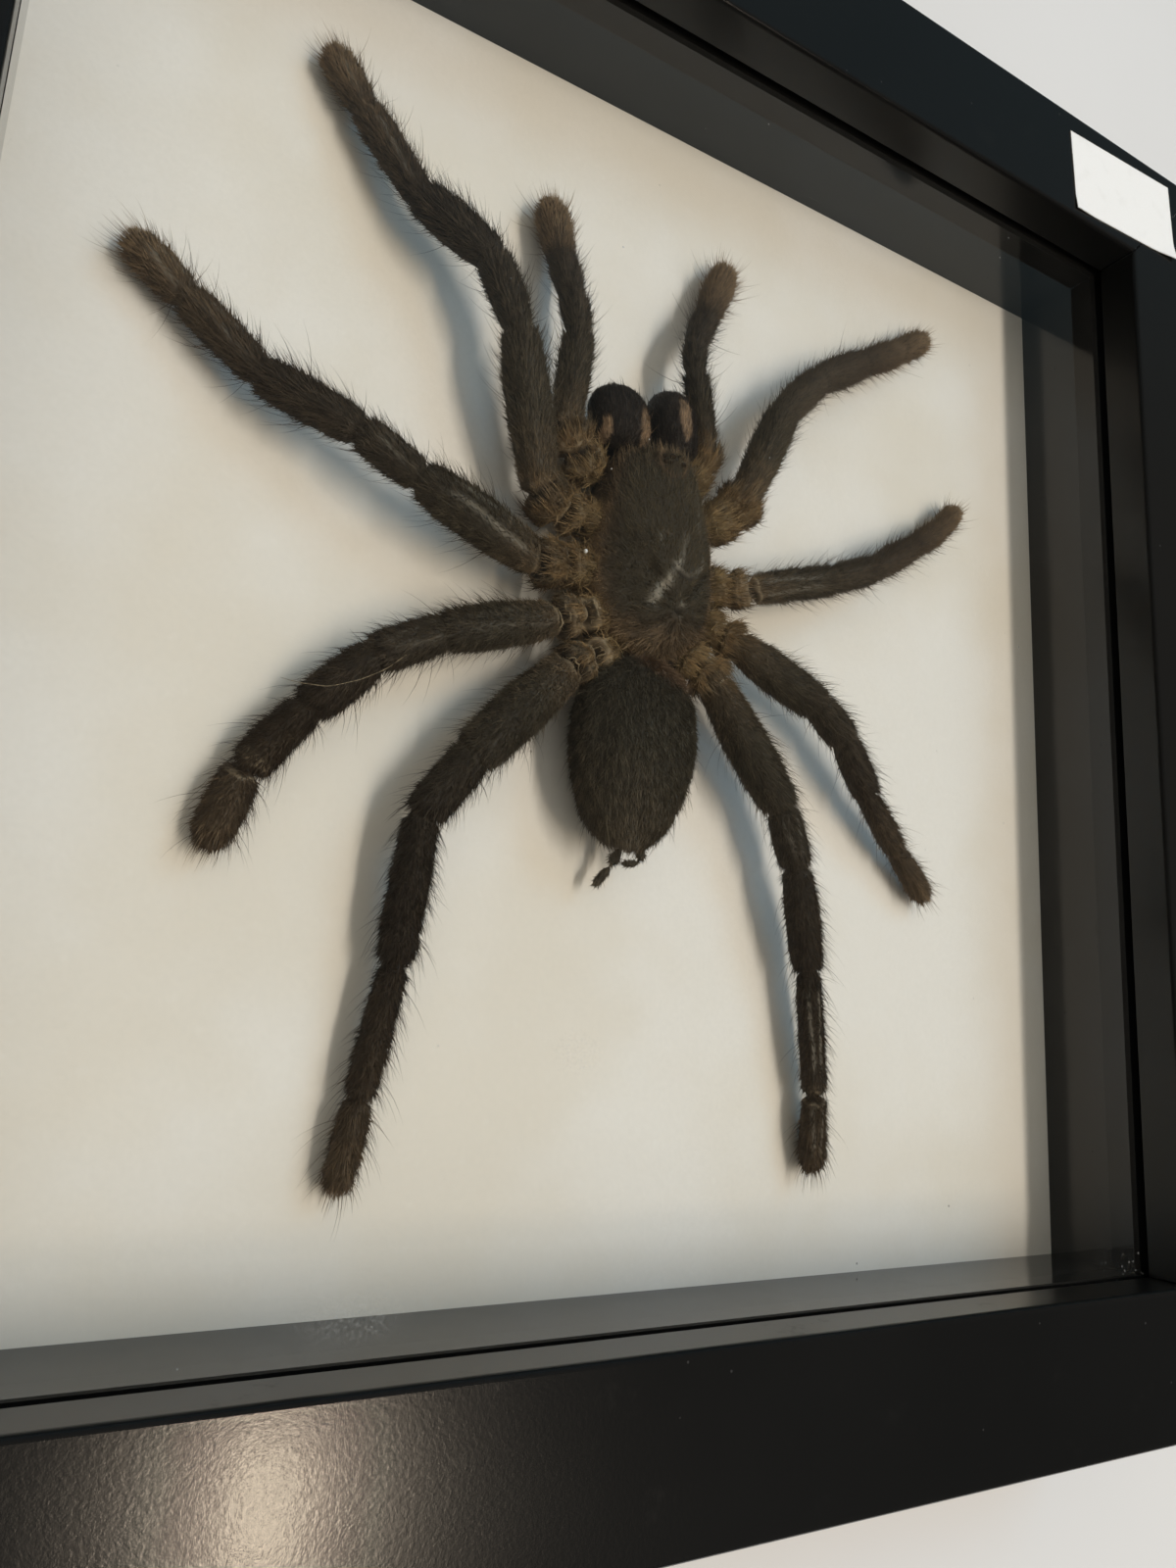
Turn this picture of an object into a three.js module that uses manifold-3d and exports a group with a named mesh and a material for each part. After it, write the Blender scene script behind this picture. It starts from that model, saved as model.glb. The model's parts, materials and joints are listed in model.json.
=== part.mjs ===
// A large dried tarantula in a glazed black shadow-box frame.
// Millimetres, +Z up. The frame lies on its back: the glass faces up, and +Y is the way the
// spider's head points. The origin is at the middle of the rear faces of the rails.

import * as THREE from 'three';
import { mergeVertices } from 'three/addons/utils/BufferGeometryUtils.js';
import Module from 'manifold-3d';

const wasm = await Module();
wasm.setup();

// ---------------------------------------------------------------- driving dimensions

const OUTER = 254;            // side of the square frame
const RAIL_WIDTH = 24.5;      // face of a rail, from the outer edge to the opening
const DEPTH = 40;             // rear of the rails to their front face
const EDGE_ROUND = 0.8;       // rounding on the two front edges of a rail
const MITRE_SETBACK = 0.2;    // each rail stops this short of the corner line
const LIP_WIDTH = 6;          // how far the lip covers the glass
const LIP_DEPTH = 7.9;        // front face down to the glass
const GLASS_THICKNESS = 1.6;
const FIT = 0.5;              // play between the rebate and what is set into it
const LINER_THICKNESS = 5.5;
const LINER_HEIGHT = 18.9;    // board up to the glass
const BOARD_THICKNESS = 5;
const PANEL_THICKNESS = 3;
const CLEARANCE = 0.3;        // gap kept between grown pieces that meet

const LABEL = { size: [33.2, 17.8, 0.2], centre: [99.8, 114.1], turn: 3.2 };

const TONGUE = { length: 9, width: 7, thickness: 0.5, spacing: 130 };

const HANGER = {
  length: 44, height: 8, metal: 0.8, foot: 9, ramp: 3, rise: 1.4,
  teeth: 7, toothPitch: 2.6, toothDepth: 2.2, centreY: 84,
};
const RIVET = { headRadius: 2.2, headHeight: 0.9, shankRadius: 1, holeRadius: 1.3 };

// Heights worked out from those above.
const OPENING = OUTER - 2 * RAIL_WIDTH;
const REBATE = OPENING + 2 * LIP_WIDTH;
const SET_IN = REBATE - 2 * FIT;
const GLASS_TOP = DEPTH - LIP_DEPTH;
const GLASS_BOTTOM = GLASS_TOP - GLASS_THICKNESS;
const BOARD_TOP = GLASS_BOTTOM - LINER_HEIGHT;
const PANEL_TOP = BOARD_TOP - BOARD_THICKNESS;
const PANEL_BOTTOM = PANEL_TOP - PANEL_THICKNESS;

// The cephalothorax and the abdomen each have their own frame: the origin is at the rear
// or front end on the board, and +Y runs forward along the body.
const CEPHALOTHORAX = { rear: [-2.1, -4.2], turn: 5.2 };
const ABDOMEN = { front: [-3.2, -5.4], turn: -4.8 };
const MARGIN_HEIGHT = 8.5;    // edge of the carapace above the board

// Stations of the cephalothorax: distance forward, half width, top and underside heights.
const CARAPACE_STATIONS = [
  [0, 2.6, 10, 6.5], [0.8, 5, 10.9, 5.4], [3, 7.9, 12, 4.2], [7, 10.2, 12.9, 3.6],
  [12, 11.5, 13.5, 3.4], [17, 11.2, 14, 3.4], [22, 10.3, 14.3, 3.6], [27, 9.3, 14.4, 4],
  [30.5, 8.2, 14.1, 4.8], [32.6, 6.6, 13.2, 5.8], [33.4, 4, 12, 7],
];

// Stations of the abdomen: distance back, half width, half height about its axis.
const ABDOMEN_STATIONS = [
  [0, 2.2, 2], [0.9, 4.6, 3.6], [3, 8, 5.4], [6.5, 10.6, 6.6], [11, 11.6, 7.2],
  [16, 11.5, 7.2], [21, 10.3, 6.7], [25.5, 8, 5.6], [29, 5.3, 4.2], [30.8, 2.8, 2.8],
];
const ABDOMEN_AXIS = 8.4;

// A chelicera in the cephalothorax's frame: distance forward, half width, half height,
// and the height of its axis. Its inner side lies along the middle plane.
const CHELICERA_STATIONS = [
  [34, 3, 2.4, 9.4], [35, 4.3, 3.6, 9.3], [38, 4.9, 4.5, 9.1], [41.5, 4.9, 4.6, 8.7],
  [44, 4.2, 3.9, 8.2], [45.7, 2.9, 2.7, 7.8], [46.4, 1.4, 1.4, 7.6],
];
const CHELICERA_OFFSET = 5.2;
const FANG_JOINTS = [[5.2, 45.6, 4.4], [5.1, 44.6, 3], [4.9, 42, 2.1], [4.7, 39, 2]];
const FANG_GIRTHS = [1.9, 1.6, 1.1, 0.5];

// Limbs: joints as x, y and height above the board, from the body out to the tip, and the
// girth of each segment. Legs run coxa, trochanter, femur, patella, tibia, metatarsus and
// tarsus. Palps have no metatarsus.
const LEGS = {
  leg_left_1: {
    joints: [[-12.6, 16.6, 7], [-19.9, 15.8, 8.2], [-24.2, 17.6, 9.4], [-31, 41.8, 12],
      [-35.7, 52.8, 11], [-47.2, 60.9, 7.5], [-56.2, 74.1, 4.5], [-61.3, 82, 3]],
    girths: [6.6, 7, 7.5, 6.4, 7.1, 5.8, 5.7],
  },
  leg_left_2: {
    joints: [[-12.2, 8.8, 7], [-19.1, 7.2, 8.2], [-24, 6.2, 9.2], [-44.4, 13.1, 11],
      [-53.4, 18, 10], [-67.3, 23.7, 6.5], [-77.9, 33, 4], [-85, 38.8, 3]],
    girths: [6.2, 6.5, 7.7, 6.1, 6.5, 5.9, 5.9],
  },
  leg_left_3: {
    joints: [[-10.2, 1.4, 7], [-15.4, -0.3, 8], [-19.9, -2, 8.8], [-38.5, -8.7, 10],
      [-47.9, -13.8, 9], [-55.7, -22.3, 6.5], [-62.9, -31.7, 4.5], [-66, -41.2, 3]],
    girths: [5.8, 5.9, 7.1, 6.4, 6.6, 6, 6.1],
  },
  leg_left_4: {
    joints: [[-8.6, -4.4, 7], [-13.4, -6.6, 8], [-17, -9.6, 8.8], [-32.3, -25.7, 9.5],
      [-38.9, -35.3, 8.5], [-40.2, -56, 6], [-43.1, -74, 4.5], [-44.4, -85, 3]],
    girths: [5.4, 5.6, 7, 6.4, 6, 4.8, 4.8],
  },
  leg_right_1: {
    joints: [[7.8, 21, 7], [13, 24.2, 8.2], [15.9, 28.6, 9.2], [22.8, 46, 10.5],
      [31.6, 56.3, 9.5], [45, 65.8, 7], [57.4, 74.4, 4.5], [66, 80.8, 3]],
    girths: [6.6, 7, 6.8, 6.1, 6.2, 5.7, 5.3],
  },
  leg_right_2: {
    joints: [[8.2, 10.4, 7], [13, 10.8, 8], [16.6, 11.4, 8.8], [36, 18, 9.5],
      [46.2, 22.7, 9], [58.9, 31.2, 6.5], [68.6, 38.2, 4.5], [74.8, 44.4, 3]],
    girths: [6, 6.1, 5.9, 5.7, 5.4, 5.2, 4.8],
  },
  leg_right_3: {
    joints: [[8, 3.6, 7], [11.8, 2.6, 8], [15, 1.2, 8.8], [32, -6.4, 10],
      [38.9, -11.4, 9.5], [46.9, -20.3, 7], [56.6, -29, 4.5], [64.6, -36, 3]],
    girths: [5.8, 6, 7.3, 6.5, 6, 5, 4.9],
  },
  leg_right_4: {
    joints: [[5.4, -2.4, 7], [8.6, -4.6, 8], [11.8, -7.6, 8.8], [24.8, -25.7, 9.5],
      [28.6, -35.2, 9], [33.6, -52.4, 6.5], [37, -72.8, 4.5], [37.8, -84, 3]],
    girths: [5.4, 5.8, 7.4, 6.3, 6.3, 4.9, 5.1],
  },
};
const PALPS = {
  palp_left: {
    joints: [[-13.6, 24.6, 7], [-17.8, 26.6, 8.4], [-20.2, 30.2, 9], [-19, 47.2, 9.5],
      [-20.2, 53.6, 8.6], [-21.2, 62.2, 5.6], [-22.6, 72.2, 3.4]],
    girths: [5.6, 5.6, 5.6, 5.2, 5.6, 6.2],
  },
  palp_right: {
    joints: [[3.9, 26.6, 7], [6.3, 31, 8.4], [7.2, 35.6, 9], [3.9, 48.2, 9.5],
      [4.4, 54.2, 8.6], [8.8, 62.6, 5.6], [14.2, 75, 3.2]],
    girths: [5.2, 5.2, 5, 4.7, 5.2, 5.9],
  },
};
const SPINNERETS = {
  spinneret_left: {
    joints: [[-4.7, -36.4, 5.4], [-5.6, -38.4, 5], [-7.6, -41.4, 4]],
    girths: [2.6, 2.1],
  },
  spinneret_right: {
    joints: [[-0.6, -34.9, 5.6], [0, -37.4, 5], [-3, -37.7, 4.6]],
    girths: [2.6, 1.9],
  },
};

const LIMB_SIDES = 8;
const BODY_SIDES = 20;
const STATIONS_PER_SEGMENT = 3;
const JOINT_NECK = 0.84;      // girth at a joint as a share of its neighbours' girth

// ---------------------------------------------------------------- finishes

const finish = (color, roughness, metalness = 0) => () =>
  new THREE.MeshStandardMaterial({ color, roughness, metalness });

const blackLacquer = finish(0x17181a, 0.45);
const linerBlack = finish(0x111213, 0.2);
const boardWhite = finish(0xdad7cd, 0.9);
const panelBrown = finish(0x6b5238, 0.85);
const steel = finish(0xa9abad, 0.4, 1);
const labelPaper = finish(0xf1f0ec, 0.8);
const furBrown = finish(0x3f382d, 0.95);
const hornBlack = finish(0x1b191a, 0.5);
const clearGlass = () => new THREE.MeshStandardMaterial(
  { color: 0xeaf2f0, roughness: 0.02, metalness: 0, transparent: true, opacity: 0.25 });

// ---------------------------------------------------------------- solids

function bare(geometry) {
  const copy = geometry.index ? geometry.clone() : mergeVertices(geometry.clone());
  copy.deleteAttribute('normal');
  copy.deleteAttribute('uv');
  return mergeVertices(copy, 1e-5);
}

function solidOf(geometry) {
  const shell = bare(geometry);
  return new wasm.Manifold(new wasm.Mesh({
    numProp: 3,
    vertProperties: new Float32Array(shell.attributes.position.array),
    triVerts: new Uint32Array(shell.index.array),
  }));
}

function geometryOf(solid) {
  const mesh = solid.getMesh();
  const geometry = new THREE.BufferGeometry();
  geometry.setAttribute('position', new THREE.BufferAttribute(mesh.vertProperties, 3));
  geometry.setIndex(new THREE.BufferAttribute(mesh.triVerts, 1));
  geometry.computeVertexNormals();
  return geometry;
}

function cut(geometry, ...tools) {
  return geometryOf(tools.reduce((solid, tool) => solid.subtract(solidOf(tool)), solidOf(geometry)));
}

function named(name, geometry, material) {
  const mesh = new THREE.Mesh(geometry, material());
  mesh.name = name;
  return mesh;
}

function slab(width, depth, height, x, y, bottom) {
  return new THREE.BoxGeometry(width, depth, height).translate(x, y, bottom + height / 2);
}

// A cylinder whose rings are moved one by one: place(t, x, z) says where the point x, z of
// the unit circle goes on the ring at t, from 0 at the start to 1 at the end.
function wrap(sides, stations, place) {
  const geometry = new THREE.CylinderGeometry(1, 1, 1, sides, stations);
  const position = geometry.attributes.position;
  for (let i = 0; i < position.count; i += 1) {
    const t = 0.5 - position.getY(i);
    const point = place(t, position.getX(i), position.getZ(i));
    position.setXYZ(i, point.x, point.y, point.z);
  }
  return geometry;
}

function between(stations, distance, column) {
  const last = stations.length - 1;
  const low = Math.min(Math.floor(distance), last - 1);
  return THREE.MathUtils.lerp(stations[low][column], stations[low + 1][column], distance - low);
}

// ---------------------------------------------------------------- frame

// Section of a rail: u runs in from the outer face, v up from the rear face.
function railSection() {
  const section = new THREE.Shape();
  const body = RAIL_WIDTH - LIP_WIDTH;
  section.moveTo(0, 0);
  section.lineTo(body, 0);
  section.lineTo(body, GLASS_TOP);
  section.lineTo(RAIL_WIDTH, GLASS_TOP);
  section.lineTo(RAIL_WIDTH, DEPTH - EDGE_ROUND);
  section.absarc(RAIL_WIDTH - EDGE_ROUND, DEPTH - EDGE_ROUND, EDGE_ROUND, 0, Math.PI / 2);
  section.absarc(EDGE_ROUND, DEPTH - EDGE_ROUND, EDGE_ROUND, Math.PI / 2, Math.PI);
  section.closePath();
  return section;
}

// One rail along the bottom edge, with both ends mitred. It runs along X.
function rail() {
  const geometry = new THREE.ExtrudeGeometry(railSection(), {
    depth: OUTER, steps: 1, curveSegments: 3, bevelEnabled: false,
  });
  const position = geometry.attributes.position;
  for (let i = 0; i < position.count; i += 1) {
    const u = position.getX(i);
    const end = position.getZ(i) > OUTER / 2 ? OUTER - u - MITRE_SETBACK : u + MITRE_SETBACK;
    position.setXYZ(i, end - OUTER / 2, u - OUTER / 2, position.getY(i));
  }
  return bare(geometry);
}

function rails() {
  const sides = { rail_bottom: 0, rail_right: 90, rail_top: 180, rail_left: 270 };
  return Object.entries(sides).map(([name, angle]) => {
    const mesh = named(name, rail(), blackLacquer);
    mesh.rotation.z = THREE.MathUtils.degToRad(angle);
    return mesh;
  });
}

function liners() {
  const middle = OPENING / 2 + LINER_THICKNESS / 2;
  const long = OPENING + 2 * LINER_THICKNESS;
  const strip = (width, depth, x, y) => slab(width, depth, LINER_HEIGHT, x, y, BOARD_TOP);
  return [
    named('liner_top', strip(long, LINER_THICKNESS, 0, middle), linerBlack),
    named('liner_bottom', strip(long, LINER_THICKNESS, 0, -middle), linerBlack),
    named('liner_left', strip(LINER_THICKNESS, OPENING, -middle, 0), linerBlack),
    named('liner_right', strip(LINER_THICKNESS, OPENING, middle, 0), linerBlack),
  ];
}

function paperLabel() {
  const geometry = new THREE.BoxGeometry(...LABEL.size);
  const mesh = named('price_label', geometry, labelPaper);
  mesh.position.set(...LABEL.centre, DEPTH + LABEL.size[2] / 2);
  mesh.rotation.z = THREE.MathUtils.degToRad(LABEL.turn);
  return mesh;
}

// A tongue of thin steel driven into the rebate and bent flat over the back panel.
function tongues() {
  const reach = REBATE / 2 - TONGUE.length / 2;
  const names = ['bottom', 'right', 'top', 'left'];
  return names.flatMap((side, quarter) => [-1, 1].map((hand) => {
    const geometry = slab(TONGUE.width, TONGUE.length, TONGUE.thickness,
      hand * TONGUE.spacing / 2, -reach, PANEL_BOTTOM - TONGUE.thickness);
    geometry.rotateZ(quarter * Math.PI / 2);
    return named(`tongue_${side}_${hand < 0 ? 1 : 2}`, geometry, steel);
  }));
}

// Side view of the hanger: two feet on the panel and a raised middle.
function hangerSection() {
  const { length, foot, ramp, rise, metal } = HANGER;
  const half = length / 2;
  const outer = [[-half, 0], [-half + foot, 0], [-half + foot + ramp, -rise],
    [half - foot - ramp, -rise], [half - foot, 0], [half, 0]];
  const lower = outer.map(([x, z]) => new THREE.Vector2(x, z));
  const upper = outer.map(([x, z]) => new THREE.Vector2(x, z - metal)).reverse();
  return new THREE.Shape([...lower, ...upper]);
}

function tooth(x) {
  const { toothPitch, toothDepth, height } = HANGER;
  const notch = new THREE.Shape([
    new THREE.Vector2(x - toothPitch / 2, -height / 2 - 1),
    new THREE.Vector2(x + toothPitch / 2, -height / 2 - 1),
    new THREE.Vector2(x, -height / 2 + toothDepth),
  ]);
  return new THREE.ExtrudeGeometry(notch, { depth: 6, bevelEnabled: false }).translate(0, 0, -5);
}

function rivetHole(x, y, bottom, height) {
  return new THREE.CylinderGeometry(RIVET.holeRadius, RIVET.holeRadius, height, 12)
    .rotateX(Math.PI / 2).translate(x, y, bottom + height / 2);
}

const rivetX = HANGER.length / 2 - HANGER.foot / 2;

function hanger() {
  const { height, teeth, toothPitch, centreY } = HANGER;
  const strip = new THREE.ExtrudeGeometry(hangerSection(), { depth: height, bevelEnabled: false })
    .rotateX(Math.PI / 2).translate(0, height / 2, 0);
  const notches = Array.from({ length: teeth }, (_, i) => tooth((i - (teeth - 1) / 2) * toothPitch));
  const holes = [-1, 1].map((hand) => rivetHole(hand * rivetX, 0, -3, 6));
  const mesh = named('sawtooth_hanger', cut(strip, ...notches, ...holes), steel);
  mesh.position.set(0, centreY, PANEL_BOTTOM);
  return mesh;
}

function rivets() {
  const { headRadius, headHeight, shankRadius } = RIVET;
  const under = HANGER.metal;
  const profile = [[0, -under - headHeight], [headRadius * 0.6, -under - headHeight * 0.85],
    [headRadius, -under], [shankRadius, -under], [shankRadius, PANEL_THICKNESS], [0, PANEL_THICKNESS]];
  const points = profile.map(([r, z]) => new THREE.Vector2(r, z));
  return [-1, 1].map((hand, i) => {
    const geometry = new THREE.LatheGeometry(points, 12).rotateX(Math.PI / 2);
    geometry.translate(hand * rivetX, HANGER.centreY, PANEL_BOTTOM);
    return named(`hanger_rivet_${i + 1}`, geometry, steel);
  });
}

function backPanel() {
  const sheet = slab(SET_IN, SET_IN, PANEL_THICKNESS, 0, 0, PANEL_BOTTOM);
  const holes = [-1, 1].map((hand) => rivetHole(
    hand * rivetX, HANGER.centreY, PANEL_BOTTOM - 1, PANEL_THICKNESS + 2));
  return named('back_panel', cut(sheet, ...holes), panelBrown);
}

// ---------------------------------------------------------------- spider

// Girths at the joints and, between them, at the middles of the segments.
function girthAt(girths, segment, along) {
  const previous = girths[Math.max(segment - 1, 0)];
  const own = girths[segment];
  const next = girths[Math.min(segment + 1, girths.length - 1)];
  const start = JOINT_NECK * (previous + own) / 2;
  const end = JOINT_NECK * (own + next) / 2;
  const neck = THREE.MathUtils.lerp(start, end, along);
  return neck + (own - neck) * Math.sin(Math.PI * along);
}

function limb({ joints, girths }, base = BOARD_TOP) {
  const path = new THREE.CatmullRomCurve3(
    joints.map(([x, y, z]) => new THREE.Vector3(x, y, base + z)), false, 'centripetal');
  const segments = joints.length - 1;
  const stations = segments * STATIONS_PER_SEGMENT + 2;
  const up = new THREE.Vector3(0, 0, 1);
  return wrap(LIMB_SIDES, stations, (t, x, z) => {
    // The first and last rings close the ends in.
    const station = Math.round(t * stations);
    const inner = THREE.MathUtils.clamp(station - 1, 0, stations - 2) / (stations - 2);
    const closing = station === 0 || station === stations ? 0.6 : 1;
    const segment = Math.min(Math.floor(inner * segments), segments - 1);
    const radius = closing * girthAt(girths, segment, inner * segments - segment) / 2;
    const tangent = path.getTangent(inner);
    const side = new THREE.Vector3().crossVectors(up, tangent).normalize();
    const rise = new THREE.Vector3().crossVectors(tangent, side);
    const overhang = closing < 1 ? radius * (station === 0 ? -0.5 : 0.5) : 0;
    return path.getPoint(inner).addScaledVector(tangent, overhang)
      .addScaledVector(side, x * radius).addScaledVector(rise, z * radius);
  });
}

function placed(geometry, [x, y], turn) {
  return geometry.rotateZ(THREE.MathUtils.degToRad(turn)).translate(x, y, BOARD_TOP);
}

// The carapace is a dome above its margin; the underside is narrower, as the coxae meet it.
function cephalothorax(grow = 0) {
  const last = CARAPACE_STATIONS.length - 1;
  const geometry = wrap(BODY_SIDES, last, (t, x, z) => {
    const distance = t * last;
    const half = between(CARAPACE_STATIONS, distance, 1) + grow;
    const top = between(CARAPACE_STATIONS, distance, 2) + grow - MARGIN_HEIGHT;
    const under = MARGIN_HEIGHT - between(CARAPACE_STATIONS, distance, 3) + grow;
    const ends = distance === 0 ? -grow : grow * (distance === last);
    const pinch = z < 0 ? 1 - 0.38 * Math.sqrt(-z) : 1;
    return new THREE.Vector3(-x * half * pinch, between(CARAPACE_STATIONS, distance, 0) + ends,
      MARGIN_HEIGHT + z * (z < 0 ? under : top));
  });
  return placed(geometry, CEPHALOTHORAX.rear, CEPHALOTHORAX.turn);
}

function abdomen(grow = 0) {
  const last = ABDOMEN_STATIONS.length - 1;
  const geometry = wrap(BODY_SIDES, last, (t, x, z) => {
    const distance = t * last;
    const ends = distance === 0 ? grow : -grow * (distance === last);
    return new THREE.Vector3(x * (between(ABDOMEN_STATIONS, distance, 1) + grow),
      ends - between(ABDOMEN_STATIONS, distance, 0),
      ABDOMEN_AXIS + z * (between(ABDOMEN_STATIONS, distance, 2) + grow));
  });
  return placed(geometry, ABDOMEN.front, ABDOMEN.turn);
}

function chelicera(hand, grow = 0) {
  const last = CHELICERA_STATIONS.length - 1;
  const geometry = wrap(12, last, (t, x, z) => {
    const distance = t * last;
    const ends = distance === 0 ? -grow : grow * (distance === last);
    const half = between(CHELICERA_STATIONS, distance, 1) + grow;
    return new THREE.Vector3(hand * CHELICERA_OFFSET - x * half,
      between(CHELICERA_STATIONS, distance, 0) + ends,
      between(CHELICERA_STATIONS, distance, 3)
        + z * (between(CHELICERA_STATIONS, distance, 2) + grow));
  });
  return placed(geometry, CEPHALOTHORAX.rear, CEPHALOTHORAX.turn);
}

function fang(hand) {
  const joints = FANG_JOINTS.map(([x, y, z]) => [hand * x, y, z]);
  const geometry = limb({ joints, girths: FANG_GIRTHS.slice(1) }, 0);
  return placed(geometry, CEPHALOTHORAX.rear, CEPHALOTHORAX.turn);
}

function spider() {
  const trunk = [cephalothorax(CLEARANCE), abdomen(CLEARANCE)];
  const jaws = [chelicera(-1, CLEARANCE), chelicera(1, CLEARANCE)];
  const pieces = [
    named('cephalothorax', cephalothorax(), furBrown),
    named('abdomen', abdomen(), furBrown),
    named('chelicera_left', chelicera(-1), hornBlack),
    named('chelicera_right', chelicera(1), hornBlack),
    named('fang_left', cut(fang(-1), ...jaws), hornBlack),
    named('fang_right', cut(fang(1), ...jaws), hornBlack),
  ];
  for (const [name, palp] of Object.entries(PALPS)) {
    pieces.push(named(name, cut(limb(palp), ...trunk, ...jaws), furBrown));
  }
  for (const [name, leg] of Object.entries(LEGS)) {
    pieces.push(named(name, cut(limb(leg), ...trunk), furBrown));
  }
  for (const [name, spinneret] of Object.entries(SPINNERETS)) {
    pieces.push(named(name, cut(limb(spinneret), ...trunk), furBrown));
  }
  return pieces;
}

// ---------------------------------------------------------------- assembly

const framedTarantula = new THREE.Group();
framedTarantula.add(
  ...rails(),
  named('front_glass', slab(SET_IN, SET_IN, GLASS_THICKNESS, 0, 0, GLASS_BOTTOM), clearGlass),
  ...liners(),
  named('mount_board', slab(SET_IN, SET_IN, BOARD_THICKNESS, 0, 0, PANEL_TOP), boardWhite),
  backPanel(),
  ...tongues(),
  hanger(),
  ...rivets(),
  paperLabel(),
  ...spider(),
);

export default framedTarantula;
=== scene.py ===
"""The finished surfaces of a large tarantula mounted in a deep glazed box frame."""

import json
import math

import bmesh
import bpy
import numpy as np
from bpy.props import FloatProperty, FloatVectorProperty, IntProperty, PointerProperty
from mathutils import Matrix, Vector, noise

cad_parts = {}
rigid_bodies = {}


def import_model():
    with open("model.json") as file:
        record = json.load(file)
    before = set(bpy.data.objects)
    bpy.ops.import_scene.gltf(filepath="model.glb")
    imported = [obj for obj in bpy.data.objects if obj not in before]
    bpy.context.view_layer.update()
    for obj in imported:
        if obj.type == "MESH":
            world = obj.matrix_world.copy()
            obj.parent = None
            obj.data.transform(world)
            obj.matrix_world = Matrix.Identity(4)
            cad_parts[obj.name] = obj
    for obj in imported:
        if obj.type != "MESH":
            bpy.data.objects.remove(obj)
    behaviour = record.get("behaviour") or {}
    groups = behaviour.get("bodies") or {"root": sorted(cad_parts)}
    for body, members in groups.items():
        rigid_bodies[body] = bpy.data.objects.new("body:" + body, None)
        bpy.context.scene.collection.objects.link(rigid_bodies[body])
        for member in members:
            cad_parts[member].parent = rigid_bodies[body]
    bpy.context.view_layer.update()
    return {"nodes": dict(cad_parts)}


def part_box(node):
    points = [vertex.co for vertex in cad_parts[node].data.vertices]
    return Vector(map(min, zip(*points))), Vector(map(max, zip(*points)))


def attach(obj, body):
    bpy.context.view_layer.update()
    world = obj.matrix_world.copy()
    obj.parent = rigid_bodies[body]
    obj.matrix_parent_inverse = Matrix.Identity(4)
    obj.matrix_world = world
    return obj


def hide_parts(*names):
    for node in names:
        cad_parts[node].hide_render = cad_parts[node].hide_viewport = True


bl_info = {
    "name": "Framed Tarantula Specimen",
    "version": (1, 0, 0),
    "blender": (4, 5, 0),
    "location": "View3D > Sidebar > Specimen",
    "description": "Builds the furred spider, the glazed box and the label around the fixed model",
    "category": "Add Mesh",
}

for leftover in list(bpy.data.objects):
    bpy.data.objects.remove(leftover)

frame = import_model()

MM = 0.001
LOCK_SIZE = 1.3 * MM   # across the locks that the hair gathers in

# ------------------------------------------------------------------ sizes, in millimetres

BOARD_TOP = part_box("mount_board")[1].z / MM
GLASS_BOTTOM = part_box("front_glass")[0].z / MM
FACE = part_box("rail_top")[1].z / MM
OUTER_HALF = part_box("rail_top")[1].x / MM
OPENING_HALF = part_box("liner_right")[0].x / MM

# The cephalothorax and the abdomen each have their own frame, with its origin at the rear or
# front end on the board. Limbs are given by their joints: x, y and height above the board.
CEPHALOTHORAX = {"place": (-2.1, -4.2), "turn": 5.2}
ABDOMEN = {"place": (-3.2, -5.4), "turn": -4.8}
MARGIN_HEIGHT = 8.5

# Distance forward, half width, top height, underside height.
CARAPACE_STATIONS = [
    (0, 2.6, 10, 6.5), (0.8, 5, 10.9, 5.4), (3, 7.9, 12, 4.2), (7, 10.2, 12.9, 3.6),
    (12, 11.4, 13.5, 3.4), (17, 11.0, 14, 3.4), (22, 10.0, 14.3, 3.6), (27, 8.8, 14.4, 4),
    (30.5, 7.5, 14.1, 4.8), (32.6, 5.8, 13.2, 5.8), (33.4, 3.6, 12, 7),
]
CARAPACE_SPACING = 0.30
RIDGE_SHIFT = 1.7      # how far the carapace's ridge has dried over to the right
FOVEA = (2.7, 6.8)     # the pit, and the middle of the eyes: x and distance forward
EYE_TUBERCLE = (1.5, 30.6)
# Pairs of eyes: distance to either side of that middle, distance ahead of it, and radius.
EYES = [(0.70, 0.62, 0.52), (1.62, 0.86, 0.44), (1.02, -0.42, 0.32), (1.74, -0.18, 0.40)]

# A crack across the carapace, and its pale scars: points, width and strength.
CRACK = [(0.7, 13.6), (2.2, 12.5), (3.9, 11.6), (5.2, 12.2), (6.9, 13.4)]
SCARS = [
    ([(-2.0, 7.9), (-1.2, 9.4), (0.2, 10.8)], 0.85, 1.1),
    ([(0.2, 10.8), (1.2, 12.6), (2.3, 14.2)], 0.55, 0.8),
    ([(2.3, 14.2), (3.0, 16.2), (3.2, 18.6)], 0.40, 0.6),
    ([(3.1, 7.3), (3.6, 8.0)], 0.30, 0.9),
    ([(2.9, 5.6), (3.3, 4.2), (4.4, 2.6)], 0.28, 0.6),
    ([(5.4, 12.4), (6.9, 13.6), (7.4, 15.6)], 0.35, 0.55),
    ([(-0.9, 16.4), (-1.4, 17.6), (-0.9, 18.8), (0.3, 18.6)], 0.22, 0.5),
    ([(6.3, 20.0), (6.6, 23.4), (6.4, 27.0)], 0.60, 0.3),
]

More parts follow.
